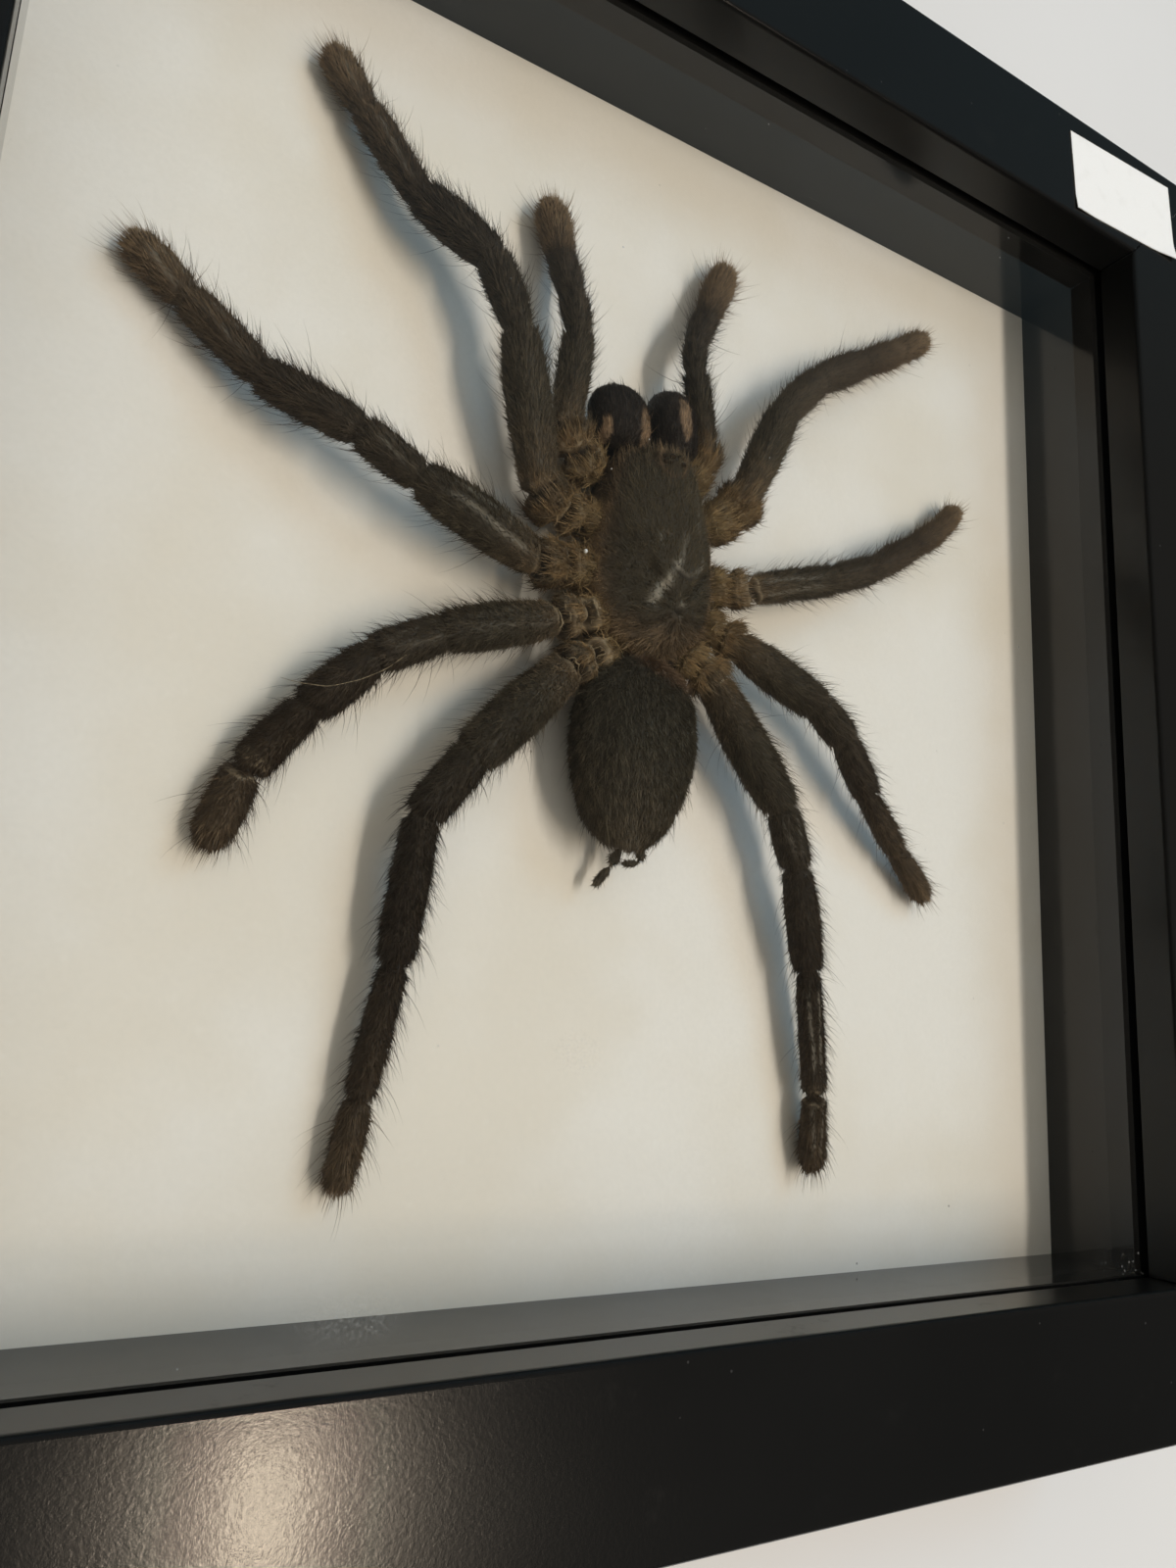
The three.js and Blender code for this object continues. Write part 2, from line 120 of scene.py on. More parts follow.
# Distance back, half width, half height.
ABDOMEN_STATIONS = [
    (0, 2.2, 2), (0.9, 4.6, 3.6), (3, 8, 5.4), (6.5, 10.2, 6.5), (11, 11.0, 7.0),
    (16, 10.8, 7.0), (21, 9.8, 6.6), (25.3, 8, 5.6), (28.4, 5.9, 4.4), (30.2, 3.4, 3.0),
]
ABDOMEN_AXIS = 8.4
ABDOMEN_SPACING = 0.36

# Distance forward, half width, half height, height of the axis.
CHELICERA_STATIONS = [
    (34, 3, 2.4, 9.4), (35, 4.3, 3.6, 9.3), (38, 4.9, 4.5, 9.1), (41.5, 4.9, 4.6, 8.7),
    (44, 4.2, 3.9, 8.2), (45.7, 2.9, 2.7, 7.8), (46.4, 1.4, 1.4, 7.6),
]
# Place, share of the width and distance further forward of each chelicera.
CHELICERAE = {-1: (-4.5, 1.13, -0.9), 1: (5.75, 0.9, 0.5)}
CHELICERA_SPACING = 0.26
CHELICERA_SIDES = 48
CHELICERA_LOFT = 0.2
FANG_JOINTS = [(5.2, 45.6, 4.4), (5.1, 44.6, 3), (4.9, 42, 2.1), (4.7, 39, 2)]
FANG_SIDES = 20

LEG_SEGMENTS = ("coxa", "trochanter", "femur", "patella", "tibia", "metatarsus", "tarsus")
PALP_SEGMENTS = ("coxa", "trochanter", "femur", "patella", "tibia", "tarsus")

# Joints from the body out to the tip, and the girth of each segment.
LEGS = {
    "leg_left_1": (
        [(-12.6, 16.6, 7), (-19.9, 15.8, 8.2), (-24.2, 17.6, 9.4), (-31, 41.8, 12),
         (-35.7, 52.8, 11), (-47.2, 60.9, 7.5), (-56.2, 74.1, 4.5), (-61.3, 82, 3)],
        (6.6, 7, 7.5, 6.4, 7.1, 5.8, 5.7)),
    "leg_left_2": (
        [(-12.2, 8.8, 7), (-19.1, 7.2, 8.2), (-24, 6.2, 9.2), (-44.4, 13.1, 11),
         (-53.4, 18, 10), (-67.3, 23.7, 6.5), (-77.9, 33, 4), (-85, 38.8, 3)],
        (6.2, 6.5, 7.7, 6.1, 6.5, 5.9, 5.9)),
    "leg_left_3": (
        [(-10.2, 1.4, 7), (-15.4, -0.3, 8), (-19.9, -2, 8.8), (-38.5, -8.7, 10),
         (-47.9, -13.8, 9), (-55.7, -22.3, 6.5), (-62.9, -31.7, 4.5), (-66, -41.2, 3)],
        (5.8, 5.9, 7.1, 6.4, 6.6, 6, 6.1)),
    "leg_left_4": (
        [(-8.6, -4.4, 7), (-13.4, -6.4, 8), (-17.2, -9.2, 8.8), (-32.3, -25.7, 9.5),
         (-38.9, -35.3, 8.5), (-40.2, -56, 6), (-43.1, -74, 4.5), (-44.4, -85, 3)],
        (5.6, 6.2, 8.1, 6.6, 6, 4.8, 4.8)),
    "leg_right_1": (
        [(7.8, 21, 7), (13, 24.2, 8.2), (15.9, 28.6, 9.2), (22.8, 46, 10.5),
         (31.6, 56.3, 9.5), (45, 65.8, 7), (57.4, 74.4, 4.5), (66, 80.8, 3)],
        (6.6, 7, 6.8, 6.1, 6.2, 5.7, 5.3)),
    "leg_right_2": (
        [(8.2, 10.4, 7), (13, 10.8, 8), (16.6, 11.4, 8.8), (36, 18, 9.5),
         (46.2, 22.7, 9), (58.9, 31.2, 6.5), (68.6, 38.2, 4.5), (74.8, 44.4, 3)],
        (6, 6.1, 5.9, 5.7, 5.4, 5.2, 4.8)),
    "leg_right_3": (
        [(8, 3.6, 7), (11.8, 2.6, 8), (15, 1.2, 8.8), (32, -6.4, 10),
         (38.9, -11.4, 9.5), (46.9, -20.3, 7), (56.6, -29, 4.5), (64.6, -36, 3)],
        (5.8, 6, 7.3, 6.5, 6, 5, 4.9)),
    "leg_right_4": (
        [(5.4, -2.4, 7), (7.8, -4.0, 8), (10.4, -6.6, 8.8), (24.8, -25.7, 9.5),
         (28.6, -35.2, 9), (33.6, -52.4, 6.5), (37, -72.8, 4.5), (37.8, -84, 3)],
        (6.4, 6.8, 8.0, 6.3, 6.3, 4.9, 5.1)),
}
PALPS = {
    "palp_left": (
        [(-13.6, 24.6, 7), (-17.8, 26.6, 8.4), (-20.2, 30.2, 9), (-19, 47.2, 9.5),
         (-20.2, 53.6, 8.6), (-21.2, 62.2, 5.6), (-22.6, 72.2, 3.4)],
        (6.8, 6.6, 5.8, 5.2, 5.6, 6.2)),
    "palp_right": (
        [(3.9, 26.6, 7), (6.3, 31, 8.4), (7.2, 35.6, 9), (3.9, 48.2, 9.5),
         (4.4, 54.2, 8.6), (8.8, 62.6, 5.6), (14.2, 75, 3.2)],
        (5.8, 5.6, 5, 4.7, 5.2, 5.9)),
}
SPINNERETS = {
    "spinneret_left": ([(-4.7, -36.4, 5.4), (-5.6, -38.4, 5), (-7.6, -41.4, 4)], (2.0, 1.5)),
    "spinneret_right": ([(-0.6, -34.9, 5.6), (0, -37.4, 5), (-3, -37.7, 4.6)], (1.9, 1.4)),
}

# Girth across the knee, where it is narrower or wider than the other joints make it.
KNEE_GIRTHS = {
    "leg_left_1": 4.8, "leg_left_2": 4.8, "leg_left_3": 5.9, "leg_left_4": 6.2,
    "leg_right_1": 5.6, "leg_right_2": 5.5, "leg_right_3": 6.1, "leg_right_4": 5.6,
}
# White beads in the fur, the largest a painted highlight on a dark spot and the two small ones dust
# specks: x, y and height above the board, and radius.
GLINT_AND_DUST_BEADS = [(-16.7, 9.0, 11.5, 0.34), (-14.6, 22.2, 14.6, 0.12), (-7.0, 30.3, 13.2, 0.11)]
# The path of a pale hair that lies across the left third leg.
LOOSE_HAIR = [
    (-60.8, -19.9, 10.0), (-59.0, -20.6, 11.6), (-55.1, -20.7, 12.6), (-50.8, -18.9, 12.8),
    (-47.6, -16.9, 13.2), (-44.8, -14.2, 13.0),
]

# How bare the pale skin lies at a joint, by the number of the joint from the body.
BARE_JOINTS = {
    "leg_left_2": {1: 0.6, 2: 0.5}, "leg_left_3": {1: 1.4, 2: 0.8, 6: 0.6},
    "leg_left_4": {1: 1.2, 2: 0.6}, "leg_right_2": {1: 0.6, 2: 1.0},
    "leg_right_4": {1: 0.4, 6: 0.5}, "leg_left_1": {1: 0.7, 2: 0.3},
    "leg_right_1": {1: 0.4}, "leg_right_3": {1: 0.4}, "palp_left": {1: 0.7, 2: 0.4},
}
# How strongly the two bald lines show on a segment.
BALD_LINES = {
    "leg_left_1": {"femur": 0.3, "metatarsus": 0.62, "tarsus": 0.6},
    "leg_left_2": {"femur": 0.72, "patella": 0.6, "metatarsus": 0.55, "tarsus": 0.75},
    "leg_left_3": {"femur": 0.3, "patella": 0.4},
    "leg_right_2": {"femur": 0.7, "patella": 0.35},
    "leg_right_4": {"metatarsus": 0.9, "tarsus": 0.7, "patella": 0.5},
}
# How much lighter or darker than its neighbours a segment is.
TONES = {
    "leg_left_1": {"femur": 0.12, "tibia": 0.05, "metatarsus": 0.15, "tarsus": 0.1},
    "leg_left_2": {"metatarsus": 0.1, "tarsus": 0.1},
    "leg_left_3": {"tibia": -0.15, "metatarsus": -0.6, "tarsus": -0.42},
    "leg_left_4": {"patella": -0.25, "tibia": -0.5, "metatarsus": -0.4, "tarsus": -0.3},
    "leg_right_1": {"femur": 0.25, "patella": 0.5, "tibia": 0.7, "metatarsus": 0.62,
                    "tarsus": 0.35},
    "leg_right_2": {"patella": 0.1, "tibia": 0.25, "metatarsus": 0.32, "tarsus": 0.2},
    "leg_right_3": {"femur": 0.05, "tarsus": -0.1},
    "leg_right_4": {"coxa": 0.4, "trochanter": 0.5, "tibia": -0.15, "metatarsus": -0.45,
                    "tarsus": -0.5},
    "palp_left": {"tibia": 0.05, "tarsus": 0.32},
    "palp_right": {"femur": -0.2, "patella": -0.1, "tarsus": 0.3},
}

# Pale hard edges that stand out of the fur: number of the joint, distance past it along the
# limb, and how far round the limb each way in degrees.
JOINT_EDGES = {
    "leg_left_3": [(1, -0.9, 50), (2, -0.4, 40), (2, 0.8, 46)],
    "leg_left_4": [(1, -0.5, 34), (2, 0.2, 52)],
    "leg_right_4": [(2, 0.4, 30)],
}
EDGE_GIRTH = 0.26
EDGE_LIFT = 0.55       # above the skin, so that the fur parts round the edge

# How dense the long hairs are on a limb, and the limbs that have fewer of them on one side.
FEELER_DENSITY = {"leg_right_1": 0.3, "leg_right_2": 0.45}
ONE_SIDED_LIMBS = ("leg_left_3", "leg_left_4", "leg_right_3", "leg_right_4")
THIN_SIDE = 0.45

# Hollows between the limb roots, sunk and painted black as painted shade: place and radius.
HOLLOWS = [(-16.1, 12.1, 1.6), (-15.6, 19.0, 1.3), (-14.9, 25.4, 1.0)]

KNEE = 3               # number of the joint between the femur and the patella
JOINT_BOW = 1.3        # how far an open joint bows towards the body
JOINT_NECK = 0.80      # girth at a joint as a share of its neighbours'
FELT_LOFT = 0.35       # how far the felt stands off the skin all round
RING_SPACING = 0.42
NEAR_BODY_SWELL = 1.2  # how much stouter the fur makes the first two segments
LIMB_SIDES = 38
SPINNERET_SIDES = 18
SPINNERET_LOFT = 0.2
ABDOMEN_SIDES = 72
CARAPACE_SIDES = 116
BOARD_CLEARANCE = 0.02  # the least that skin keeps from the board
HAIR_CLEARANCE = (0.04, 0.3)    # the least that hair keeps from the board and from the glass

# Where a segment's colours lie along the coat's colour band.
BAND = {
    "coxa": (0.0, 0.09), "trochanter": (0.09, 0.17), "femur": (0.17, 0.42),
    "patella": (0.42, 0.54), "tibia": (0.54, 0.72), "metatarsus": (0.72, 0.87),
    "tarsus": (0.87, 1.0),
}

LABEL_SIZE = (33.2, 17.8, 0.16)
LABEL_TURN = 3.2       # degrees
LABEL_GLUE = 0.03      # its lower side's height above the rail
LABEL_GRID = (84, 46)  # points across and up

# Places and sizes on the stage, in metres.
TUBE_HEIGHT = 3.0
TUBE_WIDTH = 0.13
TUBE_TURN = -9.1       # degrees from the y axis
KEY_END_SHARE = 0.31   # the near length's power as a share of the key's
FLOOR_REACH = 20.0     # from its middle to its edge
FLOOR_DROP = 0.0002

# The view: the camera's place, and the directions of the picture's right and upper edges.
CAMERA_PLACE = (-95.69, -61.41, 164.79)
CAMERA_RIGHT = (0.86029, 0.05048, 0.50729)
CAMERA_UP = (-0.14566, 0.97794, 0.14971)
CAMERA_LENS = 25.62
CAMERA_SENSOR = 36.0


# ------------------------------------------------------------------ settings

class FrameSettings(bpy.types.PropertyGroup):
    """Colours and wear of the box."""
    lacquer: FloatVectorProperty(
        name="Lacquer", description="Black of the rails", subtype="COLOR",
        default=(0.0062, 0.0062, 0.0060), min=0, max=1)
    lacquer_roughness: FloatProperty(
        name="Lacquer roughness", description="How satin the rails are", subtype="FACTOR",
        default=0.178, min=0, max=1)
    board: FloatVectorProperty(
        name="Board", description="Colour of the mount board", subtype="COLOR",
        default=(0.715, 0.672, 0.612), min=0, max=1)
    label_lift: FloatProperty(
        name="Label lift", description="Height that the label's loose corner has come up",
        unit="LENGTH", default=0.5 * MM, min=0)


class CoatSettings(bpy.types.PropertyGroup):
    """Sizes of the spider's hair."""
    felt_density: FloatProperty(
        name="Felt density", description="Felt hairs on a square millimetre of skin", default=13.0)
    felt_length: FloatProperty(
        name="Felt length", description="Length of the short hair that covers the skin",
        unit="LENGTH", default=1.0 * MM)
    felt_girth: FloatProperty(
        name="Felt girth", description="Width of a felt hair at its root",
        unit="LENGTH", default=0.13 * MM)
    fur_length: FloatProperty(
        name="Fur length", description="Length of the curly hair near the body",
        unit="LENGTH", default=1.9 * MM)
    bristle_length: FloatProperty(
        name="Bristle length", description="Length of the bristles that stand out of the felt",
        unit="LENGTH", default=2.9 * MM)
    long_length: FloatProperty(
        name="Feeler length", description="Length of the long hairs on the legs' sides",
        unit="LENGTH", default=5.2 * MM)
    seed: IntProperty(name="Seed", description="Start of every random choice", default=7)


class StageSettings(bpy.types.PropertyGroup):
    """Light and floor."""
    key_power: FloatProperty(
        name="Key power", description="Power of the lamp overhead", unit="POWER", default=49.0)
    sky_power: FloatProperty(
        name="Sky power", description="Power of the wide soft light", unit="POWER", default=24.0)
    window_power: FloatProperty(
        name="Window power", description="Power of the cool light from the upper right",
        unit="POWER", default=12.5)
    floor: FloatVectorProperty(
        name="Floor", description="Colour of the floor", subtype="COLOR",
        default=(0.70, 0.69, 0.67), min=0, max=1)


# ------------------------------------------------------------------ node trees as expressions

def plug(tree, socket, value):
    """Links a term to a socket, or sets the socket's own value."""
    if isinstance(value, Term):
        tree.links.new(value.socket, socket)
    else:
        socket.default_value = value


def arithmetic(operation, reflected=False):
    """A method that adds a Math node for an operator."""
    def method(self, other):
        pair = (other, self) if reflected else (self, other)
        return self.math(operation, *pair)
    return method


class Term:
    """An output in a node tree. Arithmetic on it adds Math nodes."""

    def __init__(self, tree, socket):
        self.tree = tree
        self.socket = socket

    def math(self, operation, *values):
        node = self.tree.nodes.new("ShaderNodeMath")
        node.operation = operation
        for socket, value in zip(node.inputs, values):
            plug(self.tree, socket, value)
        return Term(self.tree, node.outputs[0])

    def output(self, name):
        """Another output of the same node."""
        return Term(self.tree, self.socket.node.outputs[name])

    def __abs__(self):
        return self.math("ABSOLUTE", self)

    __add__ = arithmetic("ADD")
    __radd__ = arithmetic("ADD", True)
    __sub__ = arithmetic("SUBTRACT")
    __rsub__ = arithmetic("SUBTRACT", True)
    __mul__ = arithmetic("MULTIPLY")
    __rmul__ = arithmetic("MULTIPLY", True)
    __truediv__ = arithmetic("DIVIDE")
    __pow__ = arithmetic("POWER")
    larger = arithmetic("MAXIMUM")
    smaller = arithmetic("MINIMUM")


class Tree:
    """Adds nodes to one node tree."""

    def __init__(self, tree):
        self.tree = tree

    def node(self, kind, settings=None, sockets=None, output=0):
        node = self.tree.nodes.new(kind)
        for name, value in (settings or {}).items():
            if name == "stops":
                self.set_stops(node.color_ramp, value)
            else:
                setattr(node, name, value)
        for name, value in (sockets or {}).items():
            plug(self.tree, node.inputs[name], value)
        return Term(self.tree, node.outputs[output]) if node.outputs else None

    @staticmethod
    def set_stops(ramp, stops):
        while len(ramp.elements) < len(stops):
            ramp.elements.new(1.0)
        for element, (position, colour) in zip(ramp.elements, stops):
            element.position = position
            element.color = (*colour, 1.0)

    def step(self, value, low, high):
        """0 below low and 1 above high, with a smooth passage; low may be the larger."""
        return self.node("ShaderNodeMapRange", {"interpolation_type": "SMOOTHSTEP"},
                         {"Value": value, "From Min": low, "From Max": high})

    def axes(self, vector):
        split = self.node("ShaderNodeSeparateXYZ", None, {0: vector})
        return split, split.output("Y"), split.output("Z")

    def vector(self, x, y, z):
        return self.node("ShaderNodeCombineXYZ", None, {"X": x, "Y": y, "Z": z})

    def attribute(self, name):
        return self.node("ShaderNodeAttribute", {"attribute_name": name}, None, "Fac")

    def mix(self, factor, low, high, blend="MIX"):
        """Mixes two colours."""
        return self.node("ShaderNodeMix", {"data_type": "RGBA", "blend_type": blend},
                         {0: factor, 6: self.colour(low), 7: self.colour(high)}, 2)

    @staticmethod
    def colour(value):
        plain = isinstance(value, (Term, float, int)) or len(value) != 3
        return value if plain else (*value, 1.0)


class Finish(Tree):
    """A material being made."""

    def __init__(self, name):
        self.material = bpy.data.materials.new(name)
        self.material.use_nodes = True
        super().__init__(self.material.node_tree)
        self.tree.nodes.clear()
        self.place = self.node("ShaderNodeTexCoord", None, None, "Object")

    def noise(self, size, detail=2.0, roughness=0.5, distortion=0.0, place=None):
        """Cloudy noise whose features are about size millimetres across."""
        return self.node("ShaderNodeTexNoise", None, {
            "Vector": place or self.place, "Scale": 1 / (size * MM), "Detail": detail,
            "Roughness": roughness, "Distortion": distortion})

    def cells(self, size):
        """Distance from the middles of scattered cells about size millimetres across."""
        return self.node("ShaderNodeTexVoronoi", None, {
            "Vector": self.place, "Scale": 1 / (size * MM)})

    def stretched(self, x, y, z):
        """Object coordinates squeezed along an axis by these shares."""
        return self.node("ShaderNodeMapping", None, {"Vector": self.place, "Scale": (x, y, z)})

    def bump(self, height, depth):
        """A bump whose height of 1 stands depth millimetres high."""
        return self.node("ShaderNodeBump", None, {"Height": height, "Distance": depth * MM})

    def surface(self, **values):
        """The Principled surface, by socket names with underscores for spaces."""
        sockets = {name.replace("_", " "): self.colour(value) for name, value in values.items()}
        return self.node("ShaderNodeBsdfPrincipled", None, sockets)

    def done(self, shader):
        self.node("ShaderNodeOutputMaterial", None, {"Surface": shader})
        return self.material


# ------------------------------------------------------------------ finishes of the box

def spot(finish, x, y, radii, axes):
    """1 at a place on the glass, falling to 0 at its radii along x and y, in millimetres."""
    dx = (axes[0] - x * MM) / (radii[0] * MM)
    dy = (axes[1] - y * MM) / (radii[1] * MM)
    return finish.step((dx * dx + dy * dy) ** 0.5, 1.0, 0.2)


def lacquer_finish(settings):
    """Satin black lacquer over a leathery ground; the lip round the glass is glossier."""
    f = Finish("black_lacquer")
    x, y, _ = f.axes(f.place)
    across = abs(x).larger(abs(y))
    lip = f.step(across, (OPENING_HALF + 0.35) * MM, (OPENING_HALF + 0.1) * MM)
    leather = f.noise(0.6, 3.0, 0.55, 0.3)
    fine = f.noise(0.22, 2.0)
    cloud = f.noise(38, 3.0)
    rub = f.step(f.noise(7, 4.0, 0.65), 0.60, 0.74)
    edge = f.step(across, (OUTER_HALF - 1.0) * MM, OUTER_HALF * MM)
    speck = f.step(f.cells(5.5), 0.045, 0.02)
    base = f.mix(cloud, settings.lacquer, tuple(v * 1.35 for v in settings.lacquer))
    # The lighter band along the outer edge is a painted highlight on the rounded edge; the rubbed
    # patches are wear.
    base = f.mix(rub * 0.08 + edge * 0.2, base, (0.022, 0.021, 0.019))
    base = f.mix(speck * 0.18, base, (0.16, 0.155, 0.145))
    roughness = settings.lacquer_roughness + (cloud - 0.5) * 0.08 + rub * 0.02 + fine * 0.04
    normal = f.bump(leather * 0.75 + fine * 0.25, 0.017)
    face = f.surface(Base_Color=base, Roughness=roughness, Normal=normal)
    inner = f.surface(Base_Color=f.mix(cloud, (0.004, 0.004, 0.004), (0.008, 0.008, 0.0075)),
                      Roughness=0.28 + rub * 0.1, Specular_IOR_Level=0.35)
    return f.done(f.node("ShaderNodeMixShader", None, {0: lip, 1: face, 2: inner}))


def liner_finish():
    """Smooth glossy black walls, faintly scuffed, with a matt black band under the glass: painted
    shadow of the gap along the glass's edge.
    """
    f = Finish("liner_black")
    _, _, z = f.axes(f.place)
    streak = f.noise(1.0, 3.0, 0.6, 0.0, f.stretched(0.04, 0.04, 2.2))
    scuff = f.step(streak, 0.70, 0.78) * f.step(f.noise(16, 2.0), 0.52, 0.66)
    dust = f.step(f.cells(2.6), 0.075, 0.03) * f.step(f.noise(11, 2.0), 0.5, 0.7)
    cloud = f.noise(24, 3.0)
    base = f.mix(cloud, (0.008, 0.0082, 0.0085), (0.014, 0.0138, 0.013))
    base = f.mix(scuff * 0.45 + dust * 0.3, base, (0.20, 0.195, 0.18))
    # Painted shadow: a matt black band along the top of the wall, for the shaded gap under the
    # glass's edge.
    gap_shadow_band = f.step(z, (GLASS_BOTTOM - 1.15) * MM, (GLASS_BOTTOM - 1.05) * MM)
    base = f.mix(gap_shadow_band, base, (0.0015, 0.0015, 0.0015))
    roughness = 0.06 + cloud * 0.06 + scuff * 0.3 + dust * 0.3 + gap_shadow_band * 0.8
    normal = f.bump(f.noise(9, 1.0), 0.05)
    return f.done(f.surface(Base_Color=base, Roughness=roughness, Normal=normal))


def board_finish(settings):
    """Cream board with a fine mottled surface."""
    f = Finish("mount_board_cream")
    mottle = f.noise(0.7, 3.0, 0.6)
    fleck = f.noise(1.9, 2.0, 0.5)
    cloud = f.noise(46, 3.0)
    fibre = f.step(f.cells(13), 0.022, 0.010)
    pale = tuple(min(v * 1.05, 1) for v in settings.board)
    warm = (settings.board[0] * 0.985, settings.board[1] * 0.955, settings.board[2] * 0.90)
    base = f.mix(f.step(cloud, 0.35, 0.65), warm, pale)
    base = f.mix(f.step(mottle, 0.3, 0.75) * 0.09, base, (0.50, 0.47, 0.41))
    base = f.mix(f.step(fleck, 0.62, 0.75) * 0.05, base, (0.92, 0.91, 0.88))
    base = f.mix(fibre * 0.7, base, (0.10, 0.085, 0.07))
    normal = f.bump(mottle * 0.7 + fleck * 0.3, 0.03)
    return f.done(f.surface(Base_Color=base, Roughness=0.78 + mottle * 0.15, Normal=normal,
                            Specular_IOR_Level=0.3))


def panel_finish():
    """Brown hardboard, smooth side out, with pressed fibres."""
    f = Finish("hardboard")
    fibre = f.noise(1.1, 4.0, 0.65, 1.2)
    blotch = f.noise(22, 3.0)
    mark = f.step(f.noise(4.5, 4.0, 0.7), 0.66, 0.75)
    base = f.mix(f.step(fibre, 0.3, 0.7), (0.115, 0.066, 0.032), (0.185, 0.112, 0.058))
    base = f.mix(f.step(blotch, 0.4, 0.7) * 0.4, base, (0.10, 0.060, 0.031))
    base = f.mix(mark * 0.35, base, (0.30, 0.22, 0.14))
    normal = f.bump(fibre, 0.06)
    return f.done(f.surface(Base_Color=base, Roughness=0.62 + fibre * 0.25, Normal=normal))


def steel_finish():
    """Zinc-plated sheet with fine rolling lines and a dull bloom."""
    f = Finish("plated_steel")
    rolling = f.noise(0.5, 3.0, 0.6, 0.0, f.stretched(0.06, 1.0, 1.0))
    bloom = f.noise(3.2, 3.0)
    spots = f.step(f.noise(1.4, 3.0, 0.7), 0.68, 0.76)
    base = f.mix(bloom, (0.42, 0.43, 0.44), (0.60, 0.60, 0.59))
    base = f.mix(spots * 0.4, base, (0.24, 0.20, 0.15))
    roughness = 0.28 + bloom * 0.18 + spots * 0.3
    normal = f.bump(rolling, 0.012)
    return f.done(f.surface(Base_Color=base, Roughness=roughness, Metallic=1 - spots * 0.6,
                            Normal=normal))


def paper_finish():
    """White self-adhesive paper, a little grubby along its edges."""
    f = Finish("label_paper")
    fibre = f.noise(0.35, 3.0, 0.6)
    grime = f.step(f.noise(5, 3.0), 0.55, 0.75)
    rim = f.attribute("rim")
    base = f.mix(fibre, (0.80, 0.79, 0.755), (0.87, 0.86, 0.83))
    base = f.mix(grime * 0.12 + rim * 0.35, base, (0.50, 0.48, 0.43))
    normal = f.bump(fibre, 0.01)
    return f.done(f.surface(Base_Color=base, Roughness=0.55 + fibre * 0.2, Normal=normal))


def glass_finish():
    """Clear glass that lamps shine through, with dust in a corner and two wiped smudges."""
    f = Finish("clear_glass")
    axes = f.axes(f.place)
    grit = f.step(f.cells(1.5), 0.16, 0.08)
    haze = f.step(f.noise(0.5, 3.0, 0.7), 0.45, 0.75)
    corner = spot(f, 97, -100, (9, 4), axes)
    wipe = spot(f, -47, -97.5, (10, 3.6), axes) * haze
    touch = spot(f, -18.5, -66.5, (5, 4), axes) * haze
    scattered = f.step(f.cells(9), 0.024, 0.012) * f.step(f.noise(30), 0.45, 0.6)
    dust = (corner * grit * 0.30 + wipe * 0.13 + touch * 0.10 + scattered * 0.4).smaller(0.8)
    clear = f.node("ShaderNodeBsdfTransparent", None, {"Color": (0.975, 0.985, 0.98, 1)})
    mirror = f.node("ShaderNodeBsdfGlossy", None,
                    {"Color": (0.93, 0.96, 0.97, 1), "Roughness": 0.015})
    outside = 1 - f.node("ShaderNodeNewGeometry", None, None, "Backfacing")
    share = (f.node("ShaderNodeFresnel", None, {"IOR": 1.45}) * 1.7).smaller(0.9) * outside
    pane = f.node("ShaderNodeMixShader", None, {0: share, 1: clear, 2: mirror})
    powder = f.surface(Base_Color=(0.72, 0.72, 0.70), Roughness=0.9)
    return f.done(f.node("ShaderNodeMixShader", None, {0: dust, 1: pane, 2: powder}))


# ------------------------------------------------------------------ finishes of the spider

# Hair colours, and the bands of them from a limb's root or a body's rim onwards.
DARK_BROWN = (0.063, 0.051, 0.034)
WARM_BROWN = (0.080, 0.055, 0.033)
GOLD = (0.204, 0.145, 0.071)
PALE_SKIN = (0.40, 0.31, 0.19)

LIMB_BAND = [(0.0, GOLD), (0.15, (0.174, 0.112, 0.054)), (0.205, (0.090, 0.066, 0.041)),
             (0.30, DARK_BROWN), (0.52, (0.054, 0.041, 0.028)), (0.70, (0.044, 0.031, 0.020)),
             (0.86, WARM_BROWN), (1.0, (0.142, 0.096, 0.055))]
CARAPACE_BAND = [(0.0, (0.168, 0.112, 0.062)), (0.22, (0.098, 0.067, 0.040)),
                 (0.5, (0.054, 0.039, 0.024)), (1.0, (0.048, 0.038, 0.0235))]
ABDOMEN_BAND = [(0.0, (0.120, 0.076, 0.048)), (0.14, (0.052, 0.043, 0.030)),
                (0.5, (0.062, 0.053, 0.037)), (1.0, (0.080, 0.062, 0.040))]
JAW_BAND = [(0.0, (0.020, 0.015, 0.012)), (0.45, (0.036, 0.024, 0.017)),
            (1.0, (0.230, 0.150, 0.088))]


def setae_finish(name, band, gloss=0.46, shine=0.42):
    """Hair. Its map runs from dark to light hairs one way and along the band the other."""
    f = Finish(name)
    u, v, _ = f.axes(f.node("ShaderNodeUVMap", {"uv_map": "OFBake"}))
    tone = f.node("ShaderNodeValToRGB", {"stops": band}, {"Fac": v})
    deep = f.mix(1.0, tone, (0.40, 0.37, 0.35), "MULTIPLY")
    bright = f.mix(1.0, tone, (1.75, 1.72, 1.65), "MULTIPLY")
    base = f.mix(u, deep, bright)
    return f.done(f.surface(Base_Color=base, Roughness=gloss + u * 0.2,
                            Specular_IOR_Level=shine))


